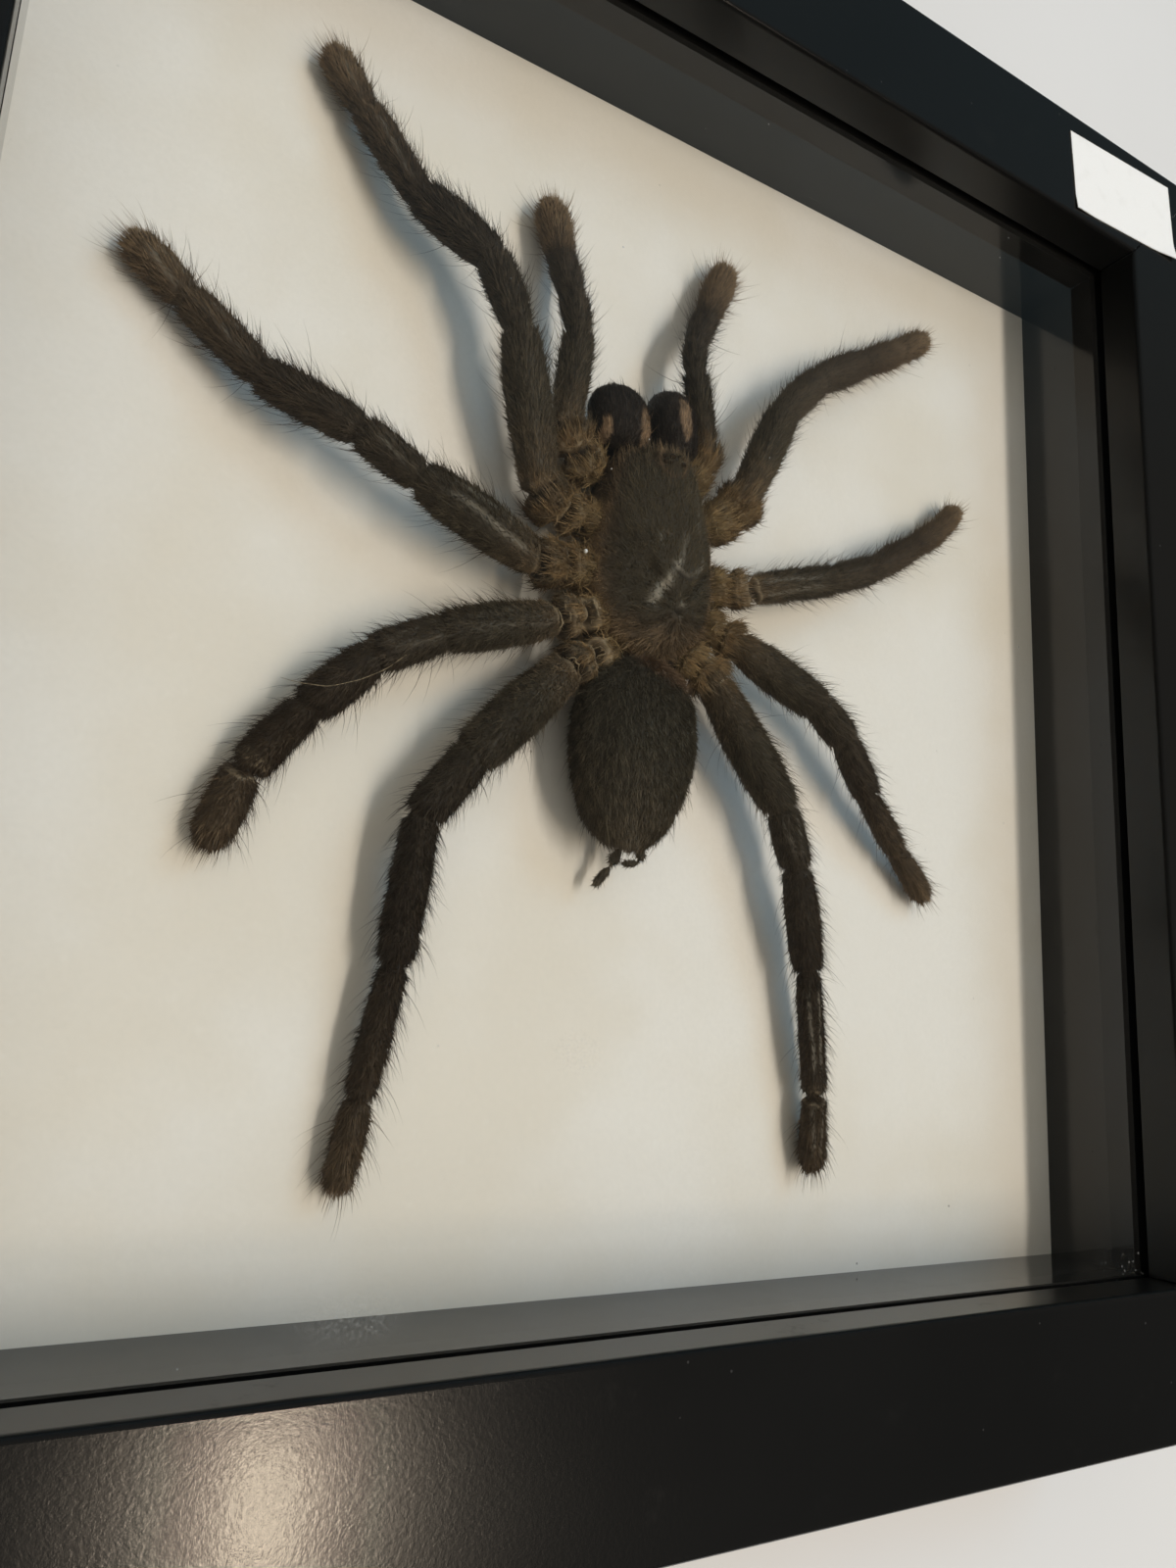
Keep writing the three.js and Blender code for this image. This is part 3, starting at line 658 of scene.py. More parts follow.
def skin_finish(name, band, darkness=0.5):
    """Dried skin under the hair, with pale membrane at the joints and glossy lines rubbed bare,
    whose pale colour is partly a painted highlight.
    """
    f = Finish(name)
    band_place = f.attribute("along") + (f.noise(3.2, 3.0) - 0.5) * 0.05
    tone = f.node("ShaderNodeValToRGB", {"stops": band}, {"Fac": band_place})
    dark = f.mix(1.0, tone, (darkness, darkness, darkness), "MULTIPLY")
    grain = f.noise(0.3, 3.0, 0.6)
    bare = f.attribute("bare")
    bald = f.attribute("bald")
    gap = f.attribute("gap")
    base = f.mix(grain * 0.5, dark, tone)
    # Worn bare skin is painted pale, partly as a painted highlight on the glossy skin.
    base = f.mix(bald * (0.45 + grain * 0.5), base, (0.300, 0.265, 0.205))
    base = f.mix(bare, base, f.mix(f.noise(0.8, 3.0), (0.20, 0.14, 0.085), PALE_SKIN))
    # Near-black: dark joints, and painted shade in recesses, under the carapace and between limb
    # roots.
    base = f.mix(gap, base, (0.008, 0.006, 0.005))
    roughness = (0.72 - bald * 0.36 - bare * 0.15 + (grain - 0.5) * 0.2).smaller(0.9)
    normal = f.bump(grain * 0.6 + f.noise(1.2, 2.0) * 0.4, 0.09)
    return f.done(f.surface(Base_Color=base, Roughness=roughness, Normal=normal,
                            Specular_IOR_Level=0.5))


def edge_finish():
    """Pale dried rims of the leg joints, like thin horn."""
    f = Finish("joint_edges")
    grain = f.noise(0.5, 3.0)
    base = f.mix(f.step(grain, 0.3, 0.7), (0.10, 0.070, 0.040), (0.36, 0.28, 0.17))
    return f.done(f.surface(Base_Color=base, Roughness=0.34 + grain * 0.2,
                            Normal=f.bump(grain, 0.03)))


def glint_and_dust_bead_finish():
    """White glossy beads, faintly clouded; the largest is a painted highlight."""
    f = Finish("white_beads")
    cloud = f.noise(0.4, 2.0)
    base = f.mix(cloud, (0.80, 0.79, 0.76), (0.60, 0.58, 0.53))
    return f.done(f.surface(Base_Color=base, Roughness=0.12 + cloud * 0.1))


def horn_finish():
    """Polished dark horn, redder towards the tips."""
    f = Finish("fang_horn")
    grain = f.noise(0.6, 3.0)
    base = f.mix(f.attribute("along"), (0.012, 0.010, 0.010), (0.075, 0.018, 0.010))
    normal = f.bump(grain, 0.02)
    return f.done(f.surface(Base_Color=base, Roughness=0.16 + grain * 0.14, Normal=normal))


def eye_finish():
    """Small glossy beads, amber in the light."""
    f = Finish("eye_beads")
    depth = f.noise(0.5, 1.0)
    base = f.mix(depth, (0.010, 0.008, 0.006), (0.050, 0.030, 0.014))
    return f.done(f.surface(Base_Color=base, Roughness=0.10 + depth * 0.05, Coat_Weight=0.6))


# ------------------------------------------------------------------ meshes

def turned(vectors, placing):
    """Turns directions from a body's own frame to the object's."""
    turn = math.radians(placing["turn"])
    vectors = np.asarray(vectors, float)
    x, y, z = vectors[..., 0], vectors[..., 1], vectors[..., 2]
    return np.stack([x * math.cos(turn) - y * math.sin(turn),
                     x * math.sin(turn) + y * math.cos(turn), z], -1)


def to_frame(points, placing):
    """Moves points from a body's own frame, in millimetres, to the object's."""
    return turned(points, placing) + (*placing["place"], BOARD_TOP)


def unit(vectors):
    """The same directions, each 1 long."""
    return vectors / np.linalg.norm(vectors, axis=-1, keepdims=True)


def round_angles(sides):
    """Angles round a ring, from its right over its top."""
    return np.linspace(0, 2 * math.pi, sides, endpoint=False)


def tube(path, radius, angle, across, out):
    """Rings round a path; across and out are the directions of its sides and its top."""
    return path[:, None] + radius[:, None, None] * (
        np.cos(angle)[None, :, None] * across[:, None]
        + np.sin(angle)[None, :, None] * out[:, None])


def through(table, column, at):
    """A column of a table of stations at the distances given, by a monotone cubic."""
    x = np.array([row[0] for row in table], float)
    y = np.array([row[column] for row in table], float)
    slope = np.diff(y) / np.diff(x)
    before, after = slope[:-1], slope[1:]
    same = before * after > 0
    inner = np.where(same, 2 * before * after / np.where(same, before + after, 1), 0)
    tangent = np.concatenate([slope[:1], inner, slope[-1:]])
    at = np.clip(np.asarray(at, float), x[0], x[-1])
    i = np.clip(np.searchsorted(x, at) - 1, 0, len(x) - 2)
    h = x[i + 1] - x[i]
    t = (at - x[i]) / h
    return ((1 + 2 * t) * (1 - t) ** 2 * y[i] + t * (1 - t) ** 2 * h * tangent[i]
            + t * t * (3 - 2 * t) * y[i + 1] + t * t * (t - 1) * h * tangent[i + 1])


def smooth(value, low, high):
    """0 below low and 1 above high, with a smooth passage."""
    t = np.clip((np.asarray(value, float) - low) / (high - low), 0, 1)
    return t * t * (3 - 2 * t)


def bell(distance, width):
    """1 at no distance, falling to 0 past the width."""
    return np.exp(-(np.asarray(distance, float) / width) ** 2)


def rough(points, size, seed=0.0):
    """Smooth noise from -1 to 1 at each of these points, with features of size millimetres."""
    flat = np.asarray(points, float).reshape(-1, 3) / size + seed
    values = np.array([noise.noise(Vector(p)) for p in flat])
    return values.reshape(np.asarray(points).shape[:-1])


def new_object(name, data):
    """An object in the scene for a mesh, a lamp or a camera."""
    made = bpy.data.objects.new(name, data)
    bpy.context.scene.collection.objects.link(made)
    return made


def mesh_of(build, name):
    """The mesh that a bmesh holds, which is then freed."""
    mesh = bpy.data.meshes.new(name)
    build.to_mesh(mesh)
    build.free()
    return mesh


def shell(name, rings, values=None):
    """A closed mesh through rings of points in millimetres, with a pole at each end.

    values holds what is painted on it: a number or a vector at each point of the rings."""
    count, sides = rings.shape[:2]
    poles = [rings[0].mean(0), rings[-1].mean(0)]
    points = np.vstack([rings.reshape(-1, 3), poles])
    points[:, 2] = np.maximum(points[:, 2], BOARD_TOP + BOARD_CLEARANCE)
    first, last = count * sides, count * sides + 1
    ring, side = np.meshgrid(np.arange(count - 1), np.arange(sides), indexing="ij")
    low = (ring * sides + side).ravel()
    low_next = (ring * sides + (side + 1) % sides).ravel()
    quads = np.stack([low, low_next, low_next + sides, low + sides], 1).tolist()
    end = (count - 1) * sides
    fans = [(first, (j + 1) % sides, j) for j in range(sides)]
    fans += [(last, end + j, end + (j + 1) % sides) for j in range(sides)]
    mesh = bpy.data.meshes.new(name)
    mesh.from_pydata((points * MM).tolist(), [], quads + fans)
    build = bmesh.new()
    build.from_mesh(mesh)
    bmesh.ops.recalc_face_normals(build, faces=build.faces)
    build.to_mesh(mesh)
    build.free()
    mesh.shade_smooth()
    for key, value in (values or {}).items():
        value = np.asarray(value, float)
        flat = value.reshape(count * sides, -1)
        flat = np.vstack([flat, flat[:sides].mean(0), flat[-sides:].mean(0)])
        paint(mesh, key, flat)
    return new_object(name, mesh)


def paint(mesh, key, flat):
    """Stores a number or a vector on each vertex."""
    kind, field = ("FLOAT_VECTOR", "vector") if flat.shape[1] == 3 else ("FLOAT", "value")
    attribute = mesh.attributes.new(key, kind, "POINT")
    attribute.data.foreach_set(field, flat.astype(np.float32).ravel())


def keep_piece(piece, slot, *nodes):
    """Ties a finished piece to the fixed model."""
    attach(piece, "root")
    if nodes:
        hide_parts(*nodes)


def plain_piece(name, rings, material, slot, *nodes, values=None):
    """A hairless piece through rings of points."""
    piece = shell(name, rings, values)
    piece.data.materials.append(material)
    keep_piece(piece, slot, *nodes)


def sphere_piece(name, spheres, material):
    """One piece of small spheres: places in the object's frame, and radii, in millimetres."""
    build = bmesh.new()
    for place, radius in spheres:
        bmesh.ops.create_icosphere(build, subdivisions=3, radius=radius * MM,
                                   matrix=Matrix.Translation(Vector(place) * MM))
    mesh = mesh_of(build, name)
    mesh.shade_smooth()
    mesh.materials.append(material)
    keep_piece(new_object(name, mesh), "spider_horn")


# ------------------------------------------------------------------ hair

# The tree's inputs, and the kinds of their sockets.
SETAE_INPUTS = {
    "Geometry": "NodeSocketGeometry", "Mask": "NodeSocketString",
    "Density": "NodeSocketFloat", "Length": "NodeSocketFloat",
    "Length Spread": "NodeSocketFloat", "Girth": "NodeSocketFloat",
    "Lean": "NodeSocketFloat", "Lean Spread": "NodeSocketFloat",
    "Scatter": "NodeSocketFloat", "Bend": "NodeSocketFloat",
    "Segments": "NodeSocketInt", "Seed": "NodeSocketInt", "Material": "NodeSocketMaterial",
}
HAIR_PATCH = 0.012     # width on the map that one hair takes up

# What is painted on a skin, or made by the tree, only for the hair to grow by.
GROWING_ONLY = ("flow", "felt", "fur", "bristle", "feeler", "patch", "bald", "bare", "gap",
                "along", "shade", "tone")


class SetaeTree(Tree):
    """The node tree that grows one kind of hair on a skin.

    A hair is a three-sided spike that leans along the skin's flow and bends with it."""

    def __init__(self):
        super().__init__(bpy.data.node_groups.new("Setae", "GeometryNodeTree"))
        sockets = self.tree.interface
        for name, kind in SETAE_INPUTS.items():
            sockets.new_socket(name=name, in_out="INPUT", socket_type=kind)
        sockets.new_socket(name="Geometry", in_out="OUTPUT", socket_type="NodeSocketGeometry")
        entry = self.tree.nodes.new("NodeGroupInput")
        self.given = {name: Term(self.tree, entry.outputs[name]) for name in SETAE_INPUTS}
        hairs = self.mapped(self.scattered(self.spike()))
        leave = self.tree.nodes.new("NodeGroupOutput")
        plug(self.tree, leave.inputs["Geometry"], hairs)

    def named(self, name, kind="FLOAT"):
        """What is painted on the skin, or stored on the hair, under a name."""
        return self.node("GeometryNodeInputNamedAttribute", {"data_type": kind}, {"Name": name})

    def chance(self, low, high, step, kind="FLOAT"):
        """A random number or vector; the step sets it apart from the others of a hair."""
        first, output = (0, 0) if kind == "FLOAT_VECTOR" else (2, 1)
        return self.node("FunctionNodeRandomValue", {"data_type": kind},
                         {first: low, first + 1: high, "Seed": self.given["Seed"] + step}, output)

    def store(self, geometry, name, value, kind, domain):
        return self.node("GeometryNodeStoreNamedAttribute", {"data_type": kind, "domain": domain},
                         {"Geometry": geometry, "Name": name, "Value": value})

    def vector_math(self, operation, *vectors, **scale):
        """Vector Math on two vectors, or on one and its Scale."""
        return self.node("ShaderNodeVectorMath", {"operation": operation},
                         {**dict(enumerate(vectors)), **scale})

    def spike(self):
        """One hair, bent over, that carries its place on the map."""
        girth, length = self.given["Girth"], self.given["Length"]
        spike = self.node("GeometryNodeMeshCone", {"fill_type": "NGON"}, {
            "Vertices": 3, "Side Segments": self.given["Segments"], "Radius Top": 0.0,
            "Radius Bottom": girth * 0.5, "Depth": length})
        x, _, z = self.axes(self.node("GeometryNodeInputPosition"))
        reach = z / length
        patch = self.vector(x / girth * HAIR_PATCH, reach * HAIR_PATCH, 0.0)
        spike = self.store(spike, "patch", patch, "FLOAT_VECTOR", "POINT")
        bend = self.given["Bend"] * length * reach * reach
        return self.node("GeometryNodeSetPosition", None,
                         {"Geometry": spike, "Offset": self.vector(bend, 0.0, 0.0)})

    def scattered(self, spike):
        """Hairs at random points of the skin, gathered in locks by their length and shade."""
        given = self.given
        points = self.node("GeometryNodeDistributePointsOnFaces", {"distribute_method": "RANDOM"}, {
            "Mesh": given["Geometry"],
            "Density": self.named(given["Mask"]) * given["Density"] * 1e6, "Seed": given["Seed"]})
        flow = self.named("flow", "FLOAT_VECTOR")
        lean, spread = given["Lean"], given["Lean Spread"]
        lean = self.chance(lean - spread, lean + spread, 1)
        away = self.vector_math("SCALE", points.output("Normal"), Scale=lean.math("COSINE", lean))
        onward = self.vector_math("SCALE", flow, Scale=lean.math("SINE", lean))
        stray = self.chance(0 - given["Scatter"], given["Scatter"], 2, "FLOAT_VECTOR")
        direction = self.vector_math("ADD", self.vector_math("ADD", away, onward), stray)
        stood = self.node("FunctionNodeAlignRotationToVector", {"axis": "Z"},
                          {"Vector": direction})
        turned_round = self.node("FunctionNodeAlignRotationToVector",
                                 {"axis": "X", "pivot_axis": "Z"},
                                 {"Rotation": stood, "Vector": flow})
        lock = self.node("ShaderNodeTexNoise", None, {
            "Vector": self.node("GeometryNodeInputPosition"), "Scale": 1 / LOCK_SIZE,
            "Detail": 1.0})
        size = self.chance(1 - given["Length Spread"], 1 + given["Length Spread"], 3)
        size = size * (lock * 1.1 + 0.45)
        hairs = self.node("GeometryNodeInstanceOnPoints", None, {
            "Points": points, "Instance": spike, "Rotation": turned_round, "Scale": size})
        shade = self.chance(-0.28, 0.28, 4) + (lock - 0.5) * 1.7 + 0.5
        hairs = self.store(hairs, "shade", shade, "FLOAT", "INSTANCE")
        return self.node("GeometryNodeRealizeInstances", None, {"Geometry": hairs})

    def mapped(self, hairs):
        """The hairs with their material and map: across it their shade, up it the band."""
        room = 1 - 2 * HAIR_PATCH
        x, y, _ = self.axes(self.named("patch", "FLOAT_VECTOR"))
        tone = (self.named("shade") + self.named("tone")).larger(0.0).smaller(1.0)
        u = tone * room + HAIR_PATCH + x
        v = self.named("along").larger(0.0).smaller(1.0) * room + HAIR_PATCH * 0.5 + y
        hairs = self.store(hairs, "OFBake", self.vector(u, v, 0.0), "FLOAT2", "CORNER")
        return self.node("GeometryNodeSetMaterial", None,
                         {"Geometry": hairs, "Material": self.given["Material"]})


class Coat:
    """Grows hair on skins and joins it into one piece for each."""

    def __init__(self, settings):
        self.tree = SetaeTree().tree
        self.inputs = {item.name: item.identifier for item in self.tree.interface.items_tree
                       if item.in_out == "INPUT"}
        self.seed = settings.seed
        self.settings = settings

    def grow(self, skin, kind, material):
        """One kind of hair as a mesh object of its own."""
        carrier = new_object(skin.name + "_" + kind["Mask"], skin.data)
        grower = carrier.modifiers.new("setae", "NODES")
        grower.node_group = self.tree
        self.seed += 11
        for name, value in {**kind, "Material": material, "Seed": self.seed}.items():
            grower[self.inputs[name]] = value
        evaluated = carrier.evaluated_get(bpy.context.evaluated_depsgraph_get())
        mesh = bpy.data.meshes.new_from_object(evaluated)
        bpy.data.objects.remove(carrier)
        return new_object(skin.name + "_" + kind["Mask"], mesh)

    def cover(self, skin, kinds, material, slot):
        """All the hair of one skin, as one piece."""
        parts = [self.grow(skin, kind, material) for kind in kinds]
        whole = parts[0]
        with bpy.context.temp_override(active_object=whole, selected_editable_objects=parts,
                                       selected_objects=parts, object=whole):
            bpy.ops.object.join()
        whole.name = skin.name + "_setae"
        whole.data.name = whole.name
        mesh = whole.data
        co = np.zeros(len(mesh.vertices) * 3, np.float32)
        mesh.vertices.foreach_get("co", co)
        co = co.reshape(-1, 3)
        co[:, 2] = np.clip(co[:, 2], (BOARD_TOP + HAIR_CLEARANCE[0]) * MM,
                           (GLASS_BOTTOM - HAIR_CLEARANCE[1]) * MM)
        mesh.vertices.foreach_set("co", co.ravel())
        for name in GROWING_ONLY:
            if name in mesh.attributes:
                mesh.attributes.remove(mesh.attributes[name])
        mesh.update()
        keep_piece(whole, slot)

    def furred(self, node, rings, values, kinds, materials, slot="spider_fur"):
        """One node's skin and its hair, with a material for each."""
        skin = shell(node + "_skin", rings, values)
        skin.data.materials.append(materials[0])
        self.cover(skin, kinds, materials[1], slot)
        keep_piece(skin, slot, node)

    @staticmethod
    def kind(mask, density, length, girth, lean, lean_spread, shape):
        """Inputs of the tree for one kind of hair; shape is the rest of them, in order."""
        length_spread, scatter, bend, segments = shape
        return {"Mask": mask, "Density": density, "Length": length,
                "Length Spread": length_spread, "Girth": girth, "Lean": math.radians(lean),
                "Lean Spread": math.radians(lean_spread), "Scatter": scatter, "Bend": bend,
                "Segments": segments}

    def felt(self, density=1.0, length=1.0, lean=58, scatter=0.42):
        s = self.settings
        return self.kind("felt", s.felt_density * density, s.felt_length * length,
                         s.felt_girth, lean, 14, (0.35, scatter, 0.0, 1))

    def fur(self, density=6.0, length=1.0, lean=52, scatter=0.55):
        s = self.settings
        return self.kind("fur", density, s.fur_length * length, s.felt_girth * 1.05, lean, 28,
                         (0.4, scatter, 0.45, 2))

    def curls(self, density=0.9, length=1.0):
        return self.kind("fur", density, self.settings.fur_length * 1.6 * length, 0.12 * MM,
                         66, 20, (0.35, 0.8, 0.75, 4))

    def bristles(self, density=2.2, length=1.0, lean=44):
        return self.kind("bristle", density, self.settings.bristle_length * length, 0.085 * MM,
                         lean, 16, (0.4, 0.16, 0.22, 2))

    def feelers(self, density=0.42, length=1.0, lean=40):
        return self.kind("feeler", density, self.settings.long_length * length, 0.078 * MM,
                         lean, 18, (0.35, 0.18, 0.25, 4))


# ------------------------------------------------------------------ limbs

def joint_marks(joints):
    """How far along the limb each joint is."""
    lengths = np.linalg.norm(np.diff(joints, axis=0), axis=1)
    return np.concatenate([[0], np.cumsum(lengths)])


def rounded_path(joints, reach_in, reach_out, spacing, softness):
    """Points along the joints, with the corners eased, and how far along each one is."""
    joints = np.array(joints, float)
    joints[:, 2] += BOARD_TOP
    marks = joint_marks(joints)
    first = unit(joints[0] - joints[1])
    last = unit(joints[-1] - joints[-2])

    def point(s):
        s = np.asarray(s, float)
        inside = np.stack([np.interp(s, marks, joints[:, k]) for k in range(3)], -1)
        inside += np.maximum(-s, 0)[..., None] * first
        return inside + np.maximum(s - marks[-1], 0)[..., None] * last

    total = marks[-1] + reach_in + reach_out
    at = np.linspace(-reach_in, marks[-1] + reach_out, max(int(total / spacing), 8))
    window = np.linspace(-softness, softness, 9)
    weight = 1 - (window / softness / 1.2) ** 2
    path = sum(w * point(at + u) for u, w in zip(window, weight)) / weight.sum()
    return path, at, marks


def joint_girths(name, girths):
    """Girth at each joint, ends included."""
    inner = [JOINT_NECK * (a + b) / 2 for a, b in zip(girths, girths[1:])]
    necks = [JOINT_NECK * girths[0], *inner, 0.92 * girths[-1]]
    if name in KNEE_GIRTHS:
        necks[KNEE] = KNEE_GIRTHS[name]
    return necks


def crowding(name, rings, near_body):
    """1 where a limb's root is pressed against another limb's, and 0 where it is free: where
    painted shade goes between limb roots.
    """
    free = np.full(rings.shape[:2], 9.0)
    close = near_body[:, 0] > 0
    for other, (joints, girths) in {**LEGS, **PALPS}.items():
        if other == name:
            continue
        for start, end in zip(joints[:2], joints[1:3]):
            for share in np.linspace(0, 1, 6):
                place = np.add(start, np.subtract(end, start) * share) + (0, 0, BOARD_TOP)
                apart = np.linalg.norm(rings[close] - place, axis=-1)
                free[close] = np.minimum(free[close], apart - girths[0] * NEAR_BODY_SWELL / 2)
    return (1 - smooth(free, -0.2, 1.3)) * near_body


def hollows(points):
    """1 in the hollows beside the carapace, painted black as painted shade, and 0 away from them.
    """
    depth = np.zeros(points.shape[:-1])
    for x, y, radius in HOLLOWS:
        depth = np.maximum(depth, bell(np.hypot(points[..., 0] - x, points[..., 1] - y), radius))
    return depth


def limb_radii(name, girths, loft, at, segment, share):
    """Radius of a limb's skin at each ring, rounded off at the root and the tip."""
    necks = np.array(joint_girths(name, girths))
    neck = necks[segment] + (necks[segment + 1] - necks[segment]) * share
    own = np.array([girth * (NEAR_BODY_SWELL if k < 2 and len(girths) > 2 else 1)
                    for k, girth in enumerate(girths)])[segment]
    swell = np.sin(math.pi * share ** 1.15) ** 0.50
    radius = (neck + (own - neck) * swell) / 2 - loft
    end = (girths[-1] / 2 - loft) * 1.15
    tip = (at - (at[-1] - end)) / end
    radius *= np.sqrt(np.clip(1 - np.clip(tip, 0, 0.985) ** 2.2, 0.001, 1))
    root = (at[0] + 1.2 - at) / 1.2
    return radius * np.sqrt(np.clip(1 - np.clip(root, 0, 0.97) ** 2, 0.001, 1))


def limb_band(segments, segment, share, rings, near_body):
    """Where each point of a limb lies along the coat's colour band."""
    names = np.array(segments)[segment]
    low = np.array([BAND[n][0] for n in names])
    high = np.array([BAND[n][1] for n in names])
    along = (low + (high - low) * share)[:, None] + rough(rings, 2.4, 3.0) * 0.03
    return along + near_body * (0.075 * rough(rings, 1.5, 7.0) + 0.03)


def limb_tones(name, segments, segment, rings, near_body, facing, crowd_shade):
    """How much lighter or darker than the colour band each point of a limb is, with painted shade
    on the lower side near the body and between crowded limb roots.
    """
    tones = TONES.get(name, {})
    tone = np.array([tones.get(kind, 0.0) for kind in segments])[segment]
    tone = np.convolve(np.pad(tone, 3, mode="edge"), np.ones(7) / 7, mode="valid")
    tone = tone[:, None] + rough(rings, 5.0, 4.0) * 0.08
    # Painted shade: darker on the lower side near the body, and where limb roots crowd together.
    tone -= 0.75 * near_body * (1 - smooth(facing, -0.1, 0.6))
    tone -= 1.0 * crowd_shade
    return tone + near_body * rough(rings, 1.1, 6.0) * 0.35


def limb_rings(name, joints, girths, segments, sides, loft):
    """Rings of a jointed limb, with everything that is painted on its skin."""
    past_tip = (girths[-1] / 2 - loft) * 0.55
    path, at, marks = rounded_path(joints, 1.0, past_tip, RING_SPACING, 1.5)
    tangent = unit(np.gradient(path, axis=0))
    side = unit(np.cross((0, 0, 1), tangent))
    rise = np.cross(tangent, side)

    segment = np.clip(np.searchsorted(marks, at, side="right") - 1, 0, len(girths) - 1)
    share = np.clip((at - marks[segment]) / (marks[segment + 1] - marks[segment]), 0, 1)
    radius = limb_radii(name, girths, loft, at, segment, share)
    angle = round_angles(sides)
    out = (np.cos(angle)[None, :, None] * side[:, None]
           + np.sin(angle)[None, :, None] * rise[:, None] * 0.96)
    rings = path[:, None] + radius[:, None, None] * out
    near_body = (1 - smooth(at, marks[2] - 1.5, marks[2] + 2.5))[:, None] * (len(marks) > 4)
    lumps = rough(rings, 4.2) * (0.14 + 0.35 * near_body)
    lumps += rough(rings, 1.7, 9.0) * (0.08 + 0.72 * near_body)
    bald = bald_lines(name, segments, segment, share, angle)
    fold, bare, gap = joint_folds(name, at, marks, angle)
    hollow = hollows(rings) * near_body
    rings += out * (lumps + fold - 0.16 * bald - 1.4 * hollow)[..., None]

    along = limb_band(segments, segment, share, rings, near_body)
    facing = np.sin(angle)[None, :] * np.ones((len(at), 1))
    # Painted shade between crowded limb roots and in the hollows: a darker tone and near-black
    # skin.
    crowd_shade = np.maximum(crowding(name, rings, near_body), smooth(hollow, 0.25, 0.6))
    tone = limb_tones(name, segments, segment, rings, near_body, facing, crowd_shade)
    gap = np.maximum(gap, 0.9 * crowd_shade)
    sideways = np.abs(np.cos(angle))[None, :]
    upper = smooth(facing, -0.75, -0.15)
    cover = (1 - smooth(bare, 0.25, 0.6)) * (1 - smooth(gap, 0.35, 0.7))
    tapering = smooth(at, -0.6, 0.3)[:, None]
    outer = smooth(along, 0.2, 0.3)
    flow = np.broadcast_to(tangent[:, None], rings.shape)
    values = {
        "along": along, "bare": bare * tapering, "bald": bald, "gap": gap, "flow": flow,
        "tone": tone,
        "felt": upper * cover * (1 - 0.93 * smooth(bald, 0.25, 0.6)) * (1 - 0.35 * near_body)
        * (1 - smooth(gap, 0.2, 0.5) * near_body),
        "fur": upper * cover * near_body * tapering * (1 - smooth(gap, 0.1, 0.4)),
        "bristle": smooth(facing, -0.6, 0) * outer * (1 - smooth(bald, 0.3, 0.6)),
        "feeler": smooth(sideways, 0.72, 0.95) * outer * smooth(facing, -0.7, -0.3)
        * feeler_share(name, np.cos(angle))[None, :],
    }
    return rings, values


def joint_folds(name, at, marks, angle):
    """Raised and sunk folds round the joints, and where they are bare or open."""
    strengths = BARE_JOINTS.get(name, {})
    shape = (len(at), len(angle))
    fold, bare, gap = np.zeros(shape), np.zeros(shape), np.zeros(shape)
    for number in range(1, len(marks) - 1):
        strength = strengths.get(number, 0.0)
        wander = 0.5 * np.sin(angle * 2 + number * 1.7) + 0.25 * np.sin(angle * 5 + number)
        off = (at - marks[number])[:, None] - wander[None, :] * (0.35 + 0.55 * min(strength, 0.4))
        off = off - JOINT_BOW * (strength >= 1) * (1 - np.sin(angle))[None, :]
        fold -= bell(off, 0.50 + 0.20 * strength) * (0.72 + 0.45 * strength)
        if strength >= 1:
            bare = np.maximum(bare, 0.7 * bell(off + 1.35, 0.45))
            gap = np.maximum(gap, 0.3 * bell(off + 0.5, 0.8))
        for distance, height in ((-1.2, 0.26), (1.1, 0.20), (-2.1, 0.14)):
            ridge = bell(off - distance, 0.32)
            fold += ridge * height * (0.35 + strength)
            bare = np.maximum(bare, ridge * min(strength, 1) * (0.4 + 1.6 * height))
        dark = min(0.5 + strength, 1)
        gap = np.maximum(gap, bell(off, 0.30 + 0.42 * strength) * dark)
    return fold, bare, gap


def bald_lines(name, segments, segment, share, angle):
    """Two bare lines along the upper side of some segments."""
    strengths = BALD_LINES.get(name, {})
    strength = np.array([strengths.get(kind, 0.0) for kind in segments])[segment]
    ends = smooth(share, 0.06, 0.2) * (1 - smooth(share, 0.72, 0.92))
    spread = 0.42 + 0.10 * np.sin(share * 7)
    lines = sum(bell(angle[None, :] - math.pi / 2 - 0.18 - hand * spread[:, None], 0.13)
                for hand in (-1, 1))
    return lines * (strength * ends)[:, None]


def feeler_share(name, across):
    """How dense the long hairs are on each of a limb's two sides."""
    thin = (across < 0) & (name in ONE_SIDED_LIMBS)
    return FEELER_DENSITY.get(name, 1.0) * np.where(thin, THIN_SIDE, 1.0)


